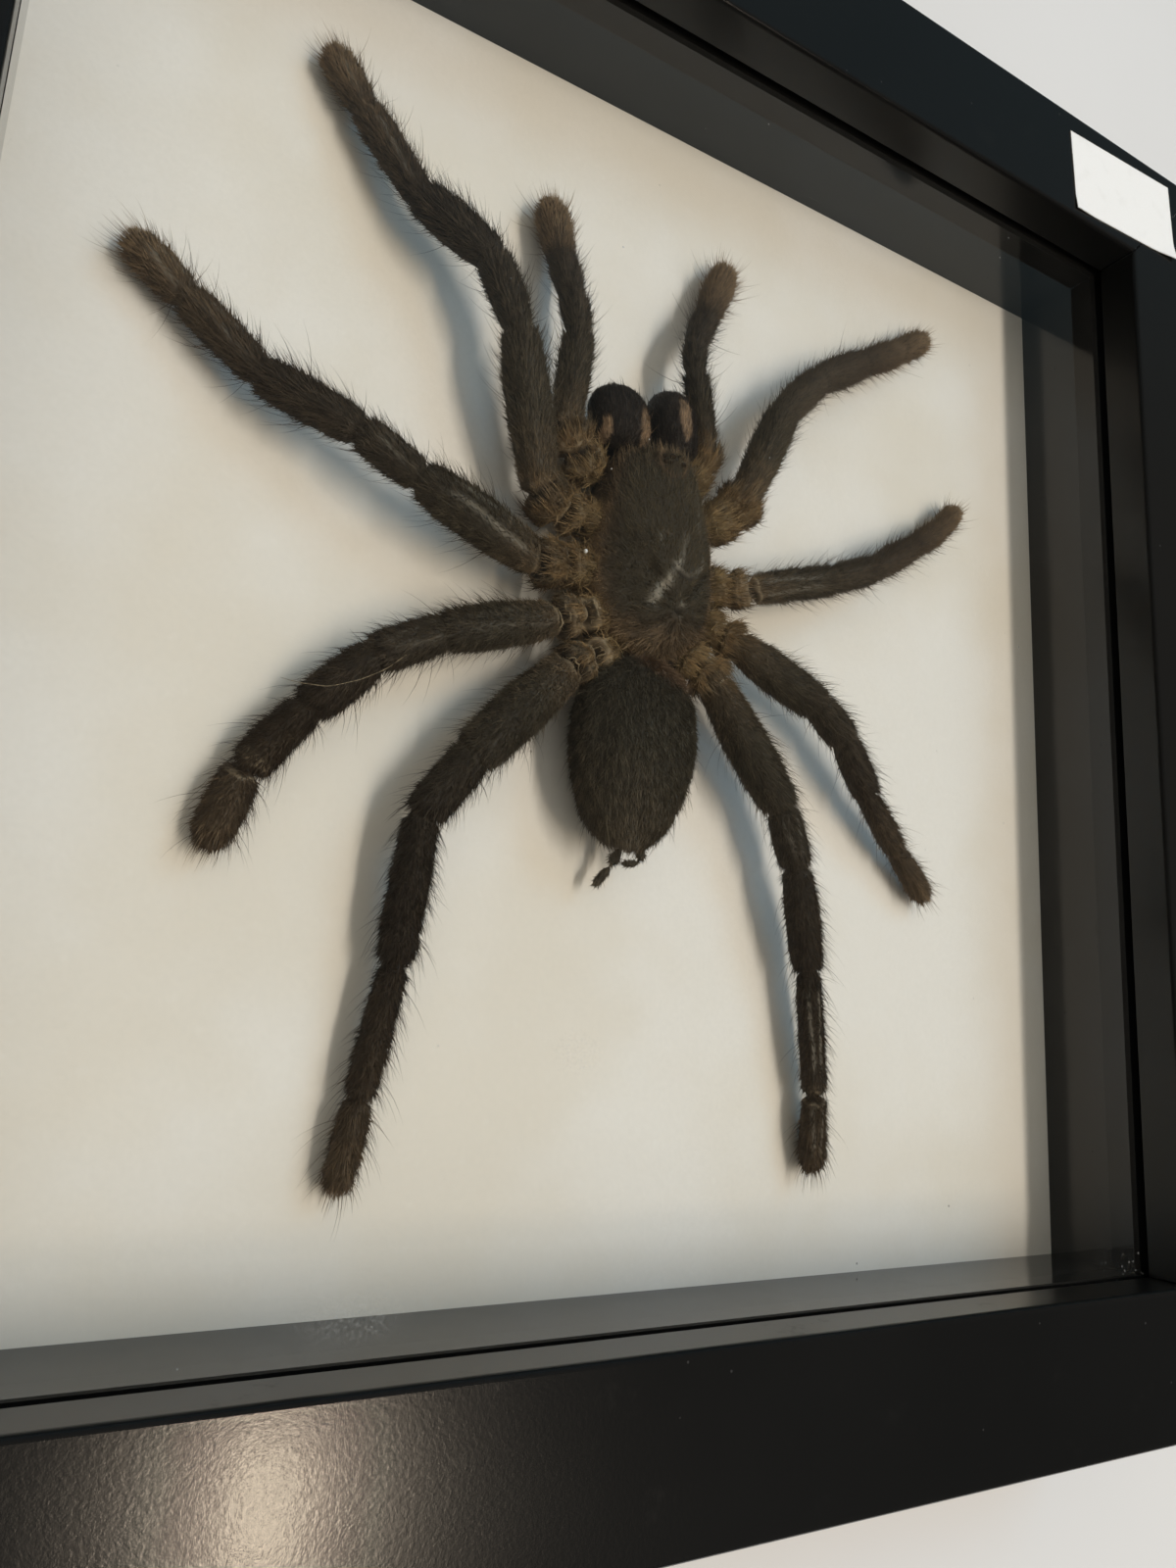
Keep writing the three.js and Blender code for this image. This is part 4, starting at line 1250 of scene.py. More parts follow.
def build_joint_edges(name, joints, rings, material):
    """The pale edges of one limb, each a thin bowed rib over the joint."""
    marks = joint_marks(joints)
    middle = rings.mean(1)
    at = np.linspace(-1.0, marks[-1] + 1.0, len(rings))
    turn = np.linspace(-1, 1, 25)
    angle = round_angles(7)
    for count, (number, distance, reach) in enumerate(JOINT_EDGES[name]):
        around = math.pi / 2 + math.radians(reach) * turn
        where = marks[number] + distance + JOINT_BOW * (1 - np.sin(around)) * 1.2
        where = where + 0.12 * np.sin(turn * 9 + number)
        ring = np.interp(where, at, np.arange(len(rings)))
        low = np.floor(ring).astype(int)
        side = around / (2 * math.pi) * rings.shape[1]
        column = np.round(side).astype(int) % rings.shape[1]
        on_skin = rings[low, column]
        out = unit(on_skin - middle[low])
        path = on_skin + out * (EDGE_LIFT * (1 - 0.8 * np.abs(turn) ** 3))[:, None]
        path += np.stack([rough(path, 1.3, k + number) for k in (1, 2, 3)], -1) * 0.35
        path = (path + np.vstack([path[:1], path[:-1]]) + np.vstack([path[1:], path[-1:]])) / 3
        across = unit(np.cross(unit(np.gradient(path, axis=0)), out))
        ragged = 0.75 + 0.75 * rough(path, 0.9, number)
        girth = EDGE_GIRTH / 2 * np.sqrt(np.clip(1 - turn ** 4, 0.02, 1)) * ragged
        rings_of_rib = tube(path, girth, angle, across * 1.3, out)
        plain_piece(f"{name}_edge_{count + 1}", rings_of_rib, material, "spider_fur")


def build_loose_hair(material):
    """One long pale hair that lies across the left third leg."""
    path, at, _ = rounded_path(LOOSE_HAIR, 0.0, 0.0, 0.4, 1.2)
    side = unit(np.cross(np.gradient(path, axis=0), (0, 0, 1)))
    radius = np.interp(at, (at[0], at[0] + 2, at[-1]), (0.02, 0.055, 0.03))
    rings = tube(path, radius, round_angles(5), side, np.broadcast_to((0, 0, 1.0), path.shape))
    plain_piece("loose_hair", rings, material, "spider_fur")


def build_limbs(coat, materials, edge_material):
    """The eight legs and the two palps."""
    for name, (joints, girths) in {**LEGS, **PALPS}.items():
        segments = LEG_SEGMENTS if name in LEGS else PALP_SEGMENTS
        rings, values = limb_rings(name, joints, girths, segments, LIMB_SIDES, FELT_LOFT)
        if name in JOINT_EDGES:
            build_joint_edges(name, joints, rings, edge_material)
        kinds = [coat.felt(), coat.fur(), coat.curls(), coat.bristles(), coat.feelers()]
        coat.furred(name, rings, values, kinds, materials)


# ------------------------------------------------------------------ trunk

def carapace_height(x, y):
    """How far the top of the carapace is raised or sunk at a place in its own frame."""
    dx, dy = x - FOVEA[0], y - FOVEA[1]
    distance = np.hypot(dx, dy)
    heading = np.degrees(np.arctan2(dx, dy))
    height = -1.5 * bell(distance, 0.5) + 0.35 * bell(distance - 1.7, 0.8)
    height -= 0.45 * bell(np.hypot(dx / 1.8, dy / 2.8 - 0.3), 1.0)
    height += 0.30 * line_on(x, y, CRACK, 0.5, 0.45) - 0.45 * line_on(x, y, CRACK, 0.3)
    for furrow in (-158, -118, -82, -38, 38, 82, 118, 158):
        off = np.radians(heading - furrow)
        across = distance * np.sin(off)
        ahead = np.cos(off) > 0
        depth = 0.8 if abs(furrow) == 38 else 0.45
        reach = smooth(distance, 1.2, 2.6) * (1 - smooth(distance, 7.5, 10.5))
        height -= depth * bell(across, 0.65) * reach * ahead
    head = (1 - smooth(np.abs(heading), 30, 44)) * smooth(distance, 2, 7)
    height += 0.6 * head
    keel = bell(x - 3.6 + 0.1 * (y - 20), 1.1)
    height += 0.45 * keel * smooth(y, 12, 16) * (1 - smooth(y, 26, 29))
    mound = np.hypot((x - EYE_TUBERCLE[0]) / 1.25, y - EYE_TUBERCLE[1])
    return height + 1.35 * bell(mound, 1.45)


def line_on(x, y, points, width, ahead=0.0):
    """1 along a line through these points, moved ahead by this much, and 0 away from it."""
    nearest = np.full(np.shape(x), 1e9)
    for start, end in zip(points, points[1:]):
        run = np.subtract(end, start)
        dx, dy = x - start[0], y - ahead - start[1]
        share = np.clip((dx * run[0] + dy * run[1]) / (run @ run), 0, 1)
        nearest = np.minimum(nearest, np.hypot(dx - share * run[0], dy - share * run[1]))
    return bell(nearest, width)


def bald_streaks(x, y):
    """Rubbed bare places and pale scars on the carapace; the skin's finish paints them pale, partly
    as a painted highlight.
    """
    ragged = 0.75 + 0.5 * rough(np.stack([x, y, np.zeros_like(x)], -1), 0.8, 3.0)
    scars = sum(strength * line_on(x, y, points, width) for points, width, strength in SCARS)
    scars = scars + 0.5 * line_on(x, y, CRACK, 0.32, 0.5)
    return np.clip(scars * ragged, 0, 1)


def evenly(table, spacing):
    """Distances from the first station of a table to its last."""
    first, last = table[0][0], table[-1][0]
    return np.linspace(first, last, int((last - first) / spacing))


def carapace_rings():
    """Rings of points in its own frame, and the sine of the angle round them."""
    table = CARAPACE_STATIONS
    y = evenly(table, CARAPACE_SPACING)
    half = through(table, 1, y)
    top = through(table, 2, y) + 0.5 - MARGIN_HEIGHT
    under = MARGIN_HEIGHT - through(table, 3, y)
    angle = round_angles(CARAPACE_SIDES)
    c, s = np.cos(angle)[None, :], np.sin(angle)[None, :]
    pinch = 1 + 0.13 * bell(s + 0.42, 0.26) - 0.30 * smooth(-s, 0.6, 1)
    dome = np.sign(s) * np.abs(s) ** np.where(s > 0, 0.95, 1.0)
    x = half[:, None] * c * pinch
    x = x + RIDGE_SHIFT * np.maximum(s, 0) ** 1.5 * smooth(y, 0, 5)[:, None]
    z = MARGIN_HEIGHT + dome * np.where(s > 0, top[:, None], under[:, None])
    below = smooth(-s, 0.1, 0.5)
    forward = y[:, None] + below * (2.2 * smooth(y, 27, 33) - 3.2 * (1 - smooth(y, 0, 5)))[:, None]
    on_top = smooth(s, 0.15, 0.5)
    z = z + carapace_height(x, forward) * on_top
    local = np.stack([x, forward, z], -1)
    z += (rough(local, 3.0) * 0.12 + rough(local, 1.1, 5.0) * 0.05) * on_top
    local[..., 2] = z
    return local, s


def carapace_flow(x, facing, pit_x, pit_y, ahead, rim):
    """The way the hair lies: away from the pit on top, and outwards along the rim."""
    away = np.stack([pit_x, pit_y * 0.6 + 2.0 * ahead, np.zeros_like(x)], -1)
    away /= np.linalg.norm(away, axis=-1)[..., None] + 1e-6
    outward = np.stack([np.cos(np.arctan2(facing, x)) * np.sign(x), -0.2 * np.ones_like(x),
                        -0.15 * np.ones_like(x)], -1)
    return turned(away * (1 - rim)[..., None] + outward * rim[..., None], CEPHALOTHORAX)


def carapace_values(local, s):
    """What is painted on the carapace: its tan rim, scars, crack, pit and hair, with painted shade
    and a painted sheen.
    """
    x, forward = local[..., 0], local[..., 1]
    facing = np.broadcast_to(s, x.shape)
    on_top = smooth(facing, 0.15, 0.5)
    rim = bell(facing - 0.08, 0.30)
    rear = 1 - smooth(forward + rough(local, 3.0, 2.0) * 1.6, 2.5, 7.5)
    front = smooth(forward, 28.5, 32.5)
    eyes = np.hypot(x - EYE_TUBERCLE[0], forward - EYE_TUBERCLE[1])
    ring = bell(eyes - 2.5, 0.45) * (facing > 0.3) * (0.9 + 0.9 * rough(local, 1.2, 1.0))
    ring = np.clip(ring, 0, 1)
    tan = np.clip(0.85 * rear + 0.3 * front + 0.95 * ring, 0, 1)
    along = np.maximum(smooth(facing, 0.24, 0.80), 0.40 * smooth(forward, 21, 26))
    along = np.clip(along * (1 - tan) + rough(local, 1.8, 6.0) * 0.13, 0, 1)
    bald = bald_streaks(x, forward) * smooth(facing, 0.1, 0.3)
    dx, dy = x - FOVEA[0], forward - FOVEA[1]
    # Near-black and bare of felt: painted shade in the pit and the crack, on the dark underside
    # under the rim, and in the hollows beside the limb roots.
    pit = bell(np.hypot(dx, dy), 0.5) * (facing > 0)
    crack = 0.8 * line_on(x, forward, CRACK, 0.26) * (facing > 0)
    gap = np.maximum(np.maximum(pit, crack), 1 - smooth(facing, -0.22, -0.06))
    gap = np.maximum(gap, smooth(hollows(to_frame(local, CEPHALOTHORAX)), 0.3, 0.7))
    clear = 1 - np.maximum(gap, bell(np.hypot(dx, dy), 0.62) * (facing > 0))
    # Painted sheen: lighter on the right side. Darker on the left behind, and lighter on the left
    # in front.
    sheen_and_patches = 0.20 * bell(np.hypot((x - 5.2) / 3, (forward - 20) / 8), 1)
    sheen_and_patches -= 0.16 * bell(np.hypot((x + 4.5) / 4, (forward - 13.5) / 5), 1)
    sheen_and_patches += 0.10 * bell(np.hypot((x + 6) / 3, (forward - 23) / 4), 1)
    # Painted shade and light: the tone follows the relief, darker where it is sunk and lighter
    # where it is raised.
    relief = carapace_height(x, forward)
    return {
        "along": along, "bald": bald, "bare": np.zeros_like(x), "gap": gap,
        "tone": np.clip(relief * 0.5, -0.3, 0.3) * on_top + sheen_and_patches
        + rough(local, 2.6, 8.0) * 0.16 + rough(local, 1.0, 2.0) * 0.34,
        "flow": carapace_flow(x, facing, dx, dy, smooth(forward, 10, 20), rim),
        "felt": smooth(facing, -0.1, 0.1) * (1 - 0.95 * smooth(bald, 0.25, 0.55)) * clear,
        "fur": np.clip(rim + 0.9 * rear * smooth(facing, -0.1, 0.1) + 0.5 * front + 0.8 * ring
                       + 0.10 * smooth(facing, 0.3, 0.6), 0, 1) * clear,
        "bristle": smooth(facing, 0.0, 0.3) * (0.12 + 0.6 * front) + 0.5 * rim,
    }


def build_cephalothorax(coat, materials):
    """The carapace over the sternum. Gives back its rings, in its own frame."""
    local, s = carapace_rings()
    values = carapace_values(local, s)
    kinds = [coat.felt(0.95, 0.5, 62, 0.5), coat.fur(5.0, 0.8, 58, 0.6), coat.curls(1.3, 0.7),
             coat.bristles(0.9, 0.6, 52)]
    coat.furred("cephalothorax", to_frame(local, CEPHALOTHORAX), values, kinds, materials)
    return local


def build_eyes(local, material):
    """Eight eyes in two rows on the tubercle."""
    spheres = []
    flat = local.reshape(-1, 3)
    for off, ahead, radius in EYES:
        for hand in (-1, 1):
            x = EYE_TUBERCLE[0] + hand * off
            y = EYE_TUBERCLE[1] + ahead
            gap = np.hypot(flat[:, 0] - x, flat[:, 1] - y) + (flat[:, 2] < MARGIN_HEIGHT) * 100
            z = flat[np.argmin(gap), 2] + radius * 0.15
            spheres.append((to_frame([x, y, z], CEPHALOTHORAX), radius))
    sphere_piece("eyes", spheres, material)


def build_glint_and_dust_beads(material):
    """The white beads in the fur: a painted highlight and two dust specks."""
    sphere_piece("white_beads", [((x, y, BOARD_TOP + height), radius)
                                 for x, y, height, radius in GLINT_AND_DUST_BEADS], material)


def build_abdomen(coat, materials):
    """The abdomen, creased at its front right, with a reddish patch behind the waist and painted
    shade on its lower side.
    """
    table = ABDOMEN_STATIONS
    back = evenly(table, ABDOMEN_SPACING)
    half = through(table, 1, back) - FELT_LOFT
    tall = through(table, 2, back) - FELT_LOFT
    angle = round_angles(ABDOMEN_SIDES)
    c, s = np.cos(angle)[None, :], np.sin(angle)[None, :]
    x = half[:, None] * c
    z = ABDOMEN_AXIS + tall[:, None] * s
    y = np.broadcast_to(-back[:, None], x.shape)
    local = np.stack([x, y, z], -1)
    out = np.stack([np.broadcast_to(c, x.shape), np.zeros_like(x), np.broadcast_to(s, x.shape)], -1)
    folds = rough(local * (1, 0.45, 1), 3.4) * 0.32 + rough(local, 7.5, 2.0) * 0.45
    crease = bell(np.hypot(x - 7.6, (-y - 4.6) * 0.35), 0.8) * (s > 0)
    local = local + out * (folds - 0.55 * crease)[..., None]
    facing = np.broadcast_to(s, x.shape)
    share = np.broadcast_to((back / back[-1])[:, None], x.shape)
    slope = np.gradient(half, back)[:, None] * c * 0.8
    flow = unit(np.stack(
        [slope, -np.ones_like(x), np.gradient(tall, back)[:, None] * s * 0.8], -1))
    bare = 0.55 * bell(np.hypot(x - 7.9, (-y - 4.4) * 0.3), 0.5) * (s > 0)
    red = bell(np.hypot((x - 3.6) / 5.2, (-y - 1.2) / 3.6), 1) * (facing > -0.2)
    red = np.clip(red * (1.1 + 0.7 * rough(local, 1.6, 5.0)), 0, 1)
    values = {
        "along": np.clip(0.14 + 0.86 * share + rough(local, 4.0) * 0.10 - 0.4 * red, 0, 1),
        "fur": np.where(red > 0.25, red, 0),
        # Painted shade: a darker tone on the lower side.
        "tone": 0.2 * red - 0.25 * (1 - smooth(facing, -0.1, 0.5)) + rough(local, 2.2, 4.0) * 0.12,
        "bald": np.zeros_like(x), "bare": bare, "flow": turned(flow, ABDOMEN),
        "felt": smooth(facing, -0.7, -0.2) * (1 - smooth(bare, 0.2, 0.45)),
        "bristle": smooth(facing, -0.6, 0) * (0.5 + 0.5 * share),
        "feeler": smooth(facing, -0.6, -0.2) * (1 - smooth(facing, 0.5, 0.8))
        * smooth(share, 0.2, 0.7) * (0.5 + 0.5 * (c > 0)),
    }
    kinds = [coat.felt(1.5, 1.1, 60, 0.38), coat.bristles(0.9, 0.9, 54),
             coat.feelers(0.36, 0.72, 46), coat.fur(4.0, 0.8, 56, 0.6), coat.curls(1.2, 0.8)]
    coat.furred("abdomen", to_frame(local, ABDOMEN), values, kinds, materials)


def build_spinnerets(coat, materials):
    """The two jointed spinnerets, without bare joints."""
    for name, (joints, girths) in SPINNERETS.items():
        rings, values = limb_rings(name, joints, girths, ("tibia", "metatarsus"),
                                   SPINNERET_SIDES, SPINNERET_LOFT)
        values["bare"] = values["bare"] * 0
        values["bald"] = values["bald"] * 0
        kinds = [coat.felt(1.3, 0.6), coat.bristles(1.4, 0.42)]
        coat.furred(name, rings, values, kinds, materials)


# ------------------------------------------------------------------ jaws

# Tan patches on top: side, place and half size, in the cephalothorax's frame.
TAN_PATCHES = [
    (-1, (-8.6, 35.2), (0.85, 3.0)), (-1, (-1.7, 36.8), (1.7, 3.9)),
    (1, (5.9, 40.2), (1.35, 4.3)),
]


def chelicera_skin(hand):
    """Rings of one chelicera, the left if hand is -1, with what is painted on them."""
    table = CHELICERA_STATIONS
    y = evenly(table, CHELICERA_SPACING)
    half = through(table, 1, y) - CHELICERA_LOFT
    tall = through(table, 2, y) - CHELICERA_LOFT
    axis = through(table, 3, y)
    angle = round_angles(CHELICERA_SIDES)
    c, s = np.cos(angle)[None, :], np.sin(angle)[None, :]
    inner = np.where(c * hand < 0, 0.94, 1.0)
    place, width, ahead = CHELICERAE[hand]
    x = place + width * half[:, None] * c * inner
    z = axis[:, None] + tall[:, None] * s
    forward = np.broadcast_to((y + ahead * smooth(y, 34, 38))[:, None], x.shape)
    local = np.stack([x, forward, z], -1)
    local[..., 2] += rough(local, 2.2) * 0.15 * s
    patch = np.zeros_like(x)
    for side, middle, size in TAN_PATCHES:
        if side == hand:
            reach = np.hypot((x - middle[0]) / size[0], (forward - middle[1]) / size[1])
            patch = np.maximum(patch, 1 - smooth(reach, 0.75, 1.15))
    facing = np.broadcast_to(s, x.shape)
    ragged = 0.5 + 0.5 * rough(local, 0.9, 4.0)
    along = np.clip(patch * (0.65 + 0.5 * ragged) * (facing > 0) + 0.12 * ragged, 0, 1)
    slope_x = np.gradient(half, y)[:, None] * c
    slope_z = np.gradient(tall, y)[:, None] * s + np.gradient(axis, y)[:, None]
    flow = unit(np.stack([slope_x, np.ones_like(x), slope_z], -1))
    values = {
        "along": along, "bald": np.zeros_like(x), "bare": np.zeros_like(x),
        "flow": turned(flow, CEPHALOTHORAX),
        "felt": smooth(facing, -0.85, -0.4) * np.ones_like(x),
        "bristle": smooth(facing, -0.5, 0.1) * (0.35 + 0.65 * smooth(forward, 40, 45)),
    }
    return to_frame(local, CEPHALOTHORAX), values


def build_jaws(coat, materials, horn):
    """The two chelicerae, and the fangs folded under them."""
    for hand, side in ((-1, "left"), (1, "right")):
        rings, values = chelicera_skin(hand)
        kinds = [coat.felt(1.1, 0.72, 72, 0.12), coat.bristles(0.55, 0.8, 55)]
        coat.furred(f"chelicera_{side}", rings, values, kinds, materials, "spider_horn")
        joints = to_frame(np.array([(hand * x, y, z) for x, y, z in FANG_JOINTS]), CEPHALOTHORAX)
        joints[:, 2] -= BOARD_TOP
        path, at, _ = rounded_path(joints, 0.1, 0.0, 0.2, 0.8)
        share = (at - at[0]) / (at[-1] - at[0])
        radius = np.interp(share, (0, 0.3, 0.7, 1), (0.85, 0.8, 0.5, 0.08))
        tangent = unit(np.gradient(path, axis=0))
        across = unit(np.cross((1, 0, 0), tangent))
        rings = tube(path, radius, round_angles(FANG_SIDES), across, np.cross(tangent, across))
        along = np.broadcast_to(smooth(share, 0.5, 1)[:, None], rings.shape[:2])
        plain_piece(f"fang_{side}_horn", rings, horn, "spider_horn", f"fang_{side}",
                    values={"along": along})


# ------------------------------------------------------------------ box

def dress(names, material):
    """Gives carried-over pieces of the fixed model their finish."""
    for name in names:
        slots = frame["nodes"][name].data.materials
        slots.clear()
        slots.append(material)


def nodes_named(start):
    """Names of the fixed model's nodes that begin so."""
    return [name for name in frame["nodes"] if name.startswith(start)]


def build_label(settings, material):
    """A paper label with a corner that has come up."""
    low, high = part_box("price_label")
    centre = (low + high) / 2 / MM
    turn = math.radians(LABEL_TURN)
    width, height, thickness = LABEL_SIZE
    columns, rows = LABEL_GRID
    u, v = np.meshgrid(np.linspace(-0.5, 0.5, columns), np.linspace(-0.5, 0.5, rows))
    lift = settings.label_lift / MM * smooth(u - v, 0.72, 1.0) ** 1.4
    lift += settings.label_lift / MM * 0.5 * smooth(-u - v, 0.80, 1.0)
    x = u * width
    y = v * height
    z = FACE + LABEL_GLUE + lift + 0.015 * np.sin(u * 21) * np.cos(v * 9)
    across = centre.x + x * math.cos(turn) - y * math.sin(turn)
    up = centre.y + x * math.sin(turn) + y * math.cos(turn)
    top = np.stack([across, up, z + thickness], -1).reshape(-1, 3)
    bottom = np.stack([across, up, z], -1).reshape(-1, 3)
    index = np.arange(rows * columns).reshape(rows, columns)
    a, b = index[:-1, :-1].ravel(), index[:-1, 1:].ravel()
    c, d = index[1:, 1:].ravel(), index[1:, :-1].ravel()
    shift = rows * columns
    faces = np.stack([a, b, c, d], 1).tolist()
    faces += (np.stack([d, c, b, a], 1) + shift).tolist()
    border = np.concatenate([index[0, :-1], index[:-1, -1], index[-1, :0:-1], index[:0:-1, 0]])
    following = np.roll(border, -1)
    faces += np.stack([following, border, border + shift, following + shift], 1).tolist()
    mesh = bpy.data.meshes.new("paper_label")
    mesh.from_pydata((np.vstack([top, bottom]) * MM).tolist(), [], faces)
    rim = smooth(np.maximum(np.abs(u), np.abs(v)), 0.486, 0.5).ravel()
    paint(mesh, "rim", np.concatenate([rim, rim])[:, None])
    mesh.materials.append(material)
    keep_piece(new_object("paper_label", mesh), "label_paper", "price_label")


# ------------------------------------------------------------------ stage

def lamp(name, place, turn, size, power, colour, mirrored=False):
    """A rectangular lamp, in metres. One that isn't mirrored leaves no reflection."""
    data = bpy.data.lights.new(name, "AREA")
    data.shape = "RECTANGLE"
    data.size, data.size_y = size
    data.energy = power
    data.color = colour
    made = new_object(name, data)
    made.location = place
    made.rotation_euler = turn
    made.visible_glossy = mirrored


def build_lamps(settings):
    """Two lengths of a tube overhead, a wide soft light and a cool one from a window."""
    tube_turn = (0, 0, math.radians(TUBE_TURN))
    window_place = (1.3, 1.2, 2.0)
    to_window = (-Vector(window_place)).to_track_quat("-Z", "Y").to_euler()
    lamp("key", (0.82, -0.26, TUBE_HEIGHT), tube_turn, (TUBE_WIDTH, 1.5), settings.key_power,
         (1.0, 0.945, 0.88))
    lamp("sky", (0, 0, 1.5), (0, 0, 0), (3.2, 3.2), settings.sky_power, (1.0, 0.955, 0.90))
    lamp("window", window_place, to_window, (0.9, 0.9), settings.window_power,
         (0.13, 0.55, 1.0))
    lamp("key_end", (0.84, -1.31, TUBE_HEIGHT), tube_turn, (TUBE_WIDTH, 0.46),
         settings.key_power * KEY_END_SHARE, (1.0, 0.83, 0.64), True)


def build_camera():
    """The camera, at the place and turn given at the top."""
    data = bpy.data.cameras.new("camera")
    data.sensor_width = CAMERA_SENSOR
    data.lens = CAMERA_LENS
    data.clip_start = 0.005
    camera = new_object("camera", data)
    right = Vector(CAMERA_RIGHT).normalized()
    up = Vector(CAMERA_UP).normalized()
    back = right.cross(up)
    turn = Matrix((right, up, back)).transposed().to_4x4()
    camera.matrix_world = Matrix.Translation(Vector(CAMERA_PLACE) * MM) @ turn
    bpy.context.scene.camera = camera


def build_world():
    """A pale room to look at, and a dim one to be lit and mirrored by."""
    world = bpy.data.worlds.new("room")
    world.use_nodes = True
    world.node_tree.nodes.clear()
    t = Tree(world.node_tree)
    seen = t.node("ShaderNodeLightPath", None, None, "Is Camera Ray")
    heading = t.node("ShaderNodeTexCoord", None, None, "Generated")
    _, north, _ = t.axes(heading)
    tint = t.mix(t.step(north, -0.25, 0.1), (0.035, 0.034, 0.030), (0.080, 0.070, 0.056))
    tint = t.mix(t.step(north, 0.35, 0.72), tint, (0.062, 0.110, 0.132))
    dim = t.node("ShaderNodeBackground", None, {"Color": tint, "Strength": 0.72})
    pale = t.node("ShaderNodeBackground", None, {"Color": (0.80, 0.80, 0.79, 1), "Strength": 0.62})
    room = t.node("ShaderNodeMixShader", None, {0: seen, 1: dim, 2: pale})
    t.node("ShaderNodeOutputWorld", None, {"Surface": room})
    bpy.context.scene.world = world


def floor_finish(colour):
    """Pale matt floor that fades into the room far away."""
    f = Finish("pale_floor")
    cloud = f.noise(60, 3.0)
    base = f.mix(cloud, tuple(colour), tuple(v * 0.95 for v in colour))
    x, y, _ = f.axes(f.place)
    far = f.step((x * x + y * y) ** 0.5, 0.6, 4.0)
    glow = f.mix(far, (0.0, 0.0, 0.0), (0.36, 0.36, 0.35))
    return f.done(f.surface(Base_Color=base, Roughness=0.85, Emission_Color=glow,
                            Emission_Strength=1.0))


def build_floor(colour):
    """The floor just under the frame."""
    build = bmesh.new()
    bmesh.ops.create_grid(build, x_segments=8, y_segments=8, size=FLOOR_REACH)
    bmesh.ops.translate(build, verts=build.verts, vec=(0, 0, -FLOOR_DROP))
    mesh = mesh_of(build, "floor")
    mesh.materials.append(floor_finish(colour))
    new_object("floor", mesh)


# ------------------------------------------------------------------ operators

class SPECIMEN_OT_stage(bpy.types.Operator):
    """Sets up the camera, the lamps and the floor"""
    bl_idname = "specimen.stage"
    bl_label = "Set the Stage"

    def execute(self, context):
        settings = context.scene.specimen_stage
        build_camera()
        build_world()
        build_floor(settings.floor)
        build_lamps(settings)
        context.scene.view_settings.view_transform = "Standard"
        return {"FINISHED"}


class SPECIMEN_OT_box(bpy.types.Operator):
    """Finishes the rails, the liner, the board, the back and its fittings"""
    bl_idname = "specimen.box"
    bl_label = "Finish the Box"

    def execute(self, context):
        settings = context.scene.specimen_frame
        dress(nodes_named("rail_"), lacquer_finish(settings))
        dress(nodes_named("liner_"), liner_finish())
        dress(["mount_board"], board_finish(settings))
        dress(["back_panel"], panel_finish())
        fittings = nodes_named("tongue_") + nodes_named("hanger_") + ["sawtooth_hanger"]
        dress(fittings, steel_finish())
        return {"FINISHED"}


class SPECIMEN_OT_glass(bpy.types.Operator):
    """Finishes the glass"""
    bl_idname = "specimen.glass"
    bl_label = "Finish the Glass"

    def execute(self, context):
        dress(["front_glass"], glass_finish())
        frame["nodes"]["front_glass"].visible_shadow = False
        return {"FINISHED"}


class SPECIMEN_OT_label(bpy.types.Operator):
    """Adds the blank paper label on the top rail"""
    bl_idname = "specimen.label"
    bl_label = "Add the Label"

    def execute(self, context):
        build_label(context.scene.specimen_frame, paper_finish())
        return {"FINISHED"}


class SPECIMEN_OT_trunk(bpy.types.Operator):
    """Adds the cephalothorax with its eyes, the abdomen and the spinnerets"""
    bl_idname = "specimen.trunk"
    bl_label = "Add the Trunk"

    def execute(self, context):
        coat = Coat(context.scene.specimen_coat)
        carapace = (skin_finish("carapace_skin", CARAPACE_BAND, 0.7),
                    setae_finish("carapace_setae", CARAPACE_BAND, 0.52, 0.28))
        local = build_cephalothorax(coat, carapace)
        build_eyes(local, eye_finish())
        build_glint_and_dust_beads(glint_and_dust_bead_finish())
        abdomen = (skin_finish("abdomen_skin", ABDOMEN_BAND),
                   setae_finish("abdomen_setae", ABDOMEN_BAND))
        build_abdomen(coat, abdomen)
        build_spinnerets(coat, abdomen)
        return {"FINISHED"}


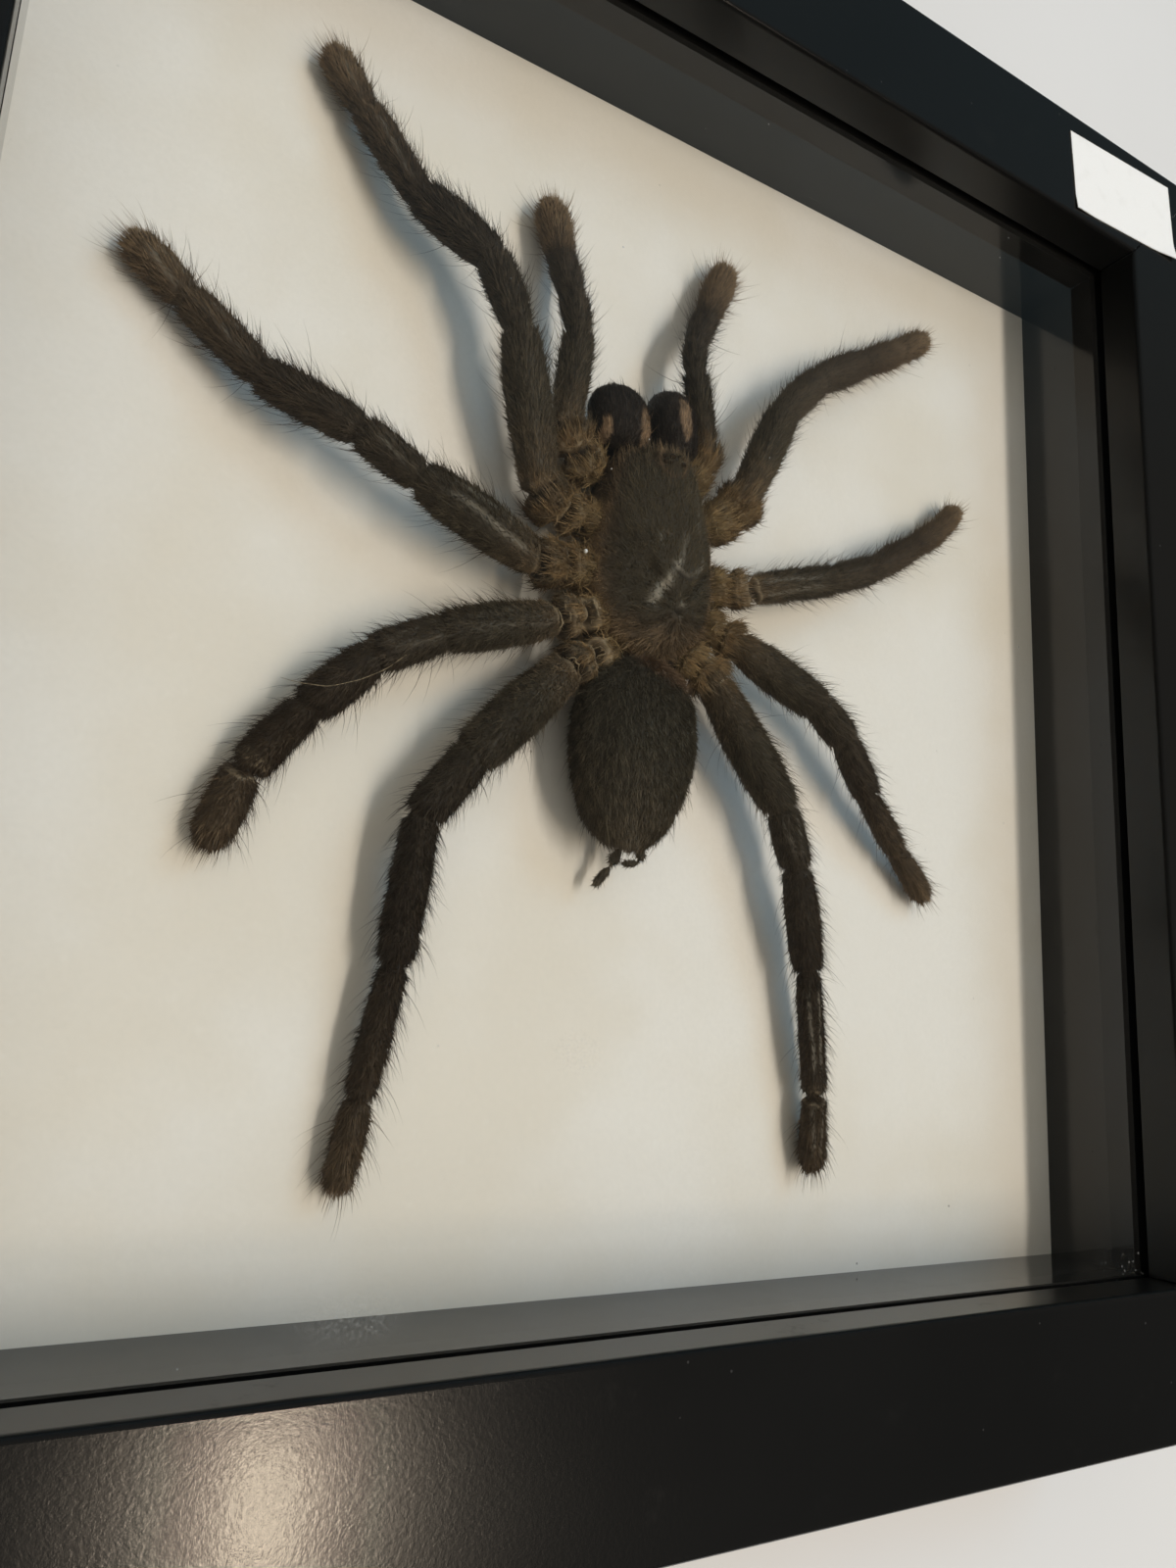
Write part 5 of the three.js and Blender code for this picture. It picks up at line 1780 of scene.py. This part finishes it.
class SPECIMEN_OT_jaws(bpy.types.Operator):
    """Adds the chelicerae and the fangs"""
    bl_idname = "specimen.jaws"
    bl_label = "Add the Jaws"

    def execute(self, context):
        coat = Coat(context.scene.specimen_coat)
        jaws = (skin_finish("jaw_skin", JAW_BAND, 0.8), setae_finish("jaw_setae", JAW_BAND, 0.38))
        build_jaws(coat, jaws, horn_finish())
        return {"FINISHED"}


class SPECIMEN_OT_limbs(bpy.types.Operator):
    """Adds the eight legs and the two palps"""
    bl_idname = "specimen.limbs"
    bl_label = "Add the Limbs"

    def execute(self, context):
        coat = Coat(context.scene.specimen_coat)
        limbs = (skin_finish("limb_skin", LIMB_BAND), setae_finish("limb_setae", LIMB_BAND))
        edges = edge_finish()
        build_limbs(coat, limbs, edges)
        build_loose_hair(edges)
        return {"FINISHED"}


class SPECIMEN_PT_sidebar(bpy.types.Panel):
    """Lists the steps in the order in which they are run"""
    bl_idname = "SPECIMEN_PT_sidebar"
    bl_label = "Framed Tarantula"
    bl_space_type = "VIEW_3D"
    bl_region_type = "UI"
    bl_category = "Specimen"

    def draw(self, context):
        for step in STEPS:
            self.layout.operator(step.bl_idname)
        for group in ("specimen_frame", "specimen_coat", "specimen_stage"):
            settings = getattr(context.scene, group)
            for name in settings.__annotations__:
                self.layout.prop(settings, name)


STEPS = (SPECIMEN_OT_stage, SPECIMEN_OT_box, SPECIMEN_OT_glass, SPECIMEN_OT_label,
         SPECIMEN_OT_trunk, SPECIMEN_OT_jaws, SPECIMEN_OT_limbs)
CLASSES = (FrameSettings, CoatSettings, StageSettings, *STEPS, SPECIMEN_PT_sidebar)


def register():
    for each in CLASSES:
        bpy.utils.register_class(each)
    bpy.types.Scene.specimen_frame = PointerProperty(type=FrameSettings)
    bpy.types.Scene.specimen_coat = PointerProperty(type=CoatSettings)
    bpy.types.Scene.specimen_stage = PointerProperty(type=StageSettings)


def unregister():
    del bpy.types.Scene.specimen_stage
    del bpy.types.Scene.specimen_coat
    del bpy.types.Scene.specimen_frame
    for each in reversed(CLASSES):
        bpy.utils.unregister_class(each)


def main():
    """Builds everything."""
    register()
    bpy.ops.specimen.stage()
    bpy.ops.specimen.box()
    bpy.ops.specimen.glass()
    bpy.ops.specimen.label()
    bpy.ops.specimen.trunk()
    bpy.ops.specimen.jaws()
    bpy.ops.specimen.limbs()


if __name__ == "__main__":
    main()
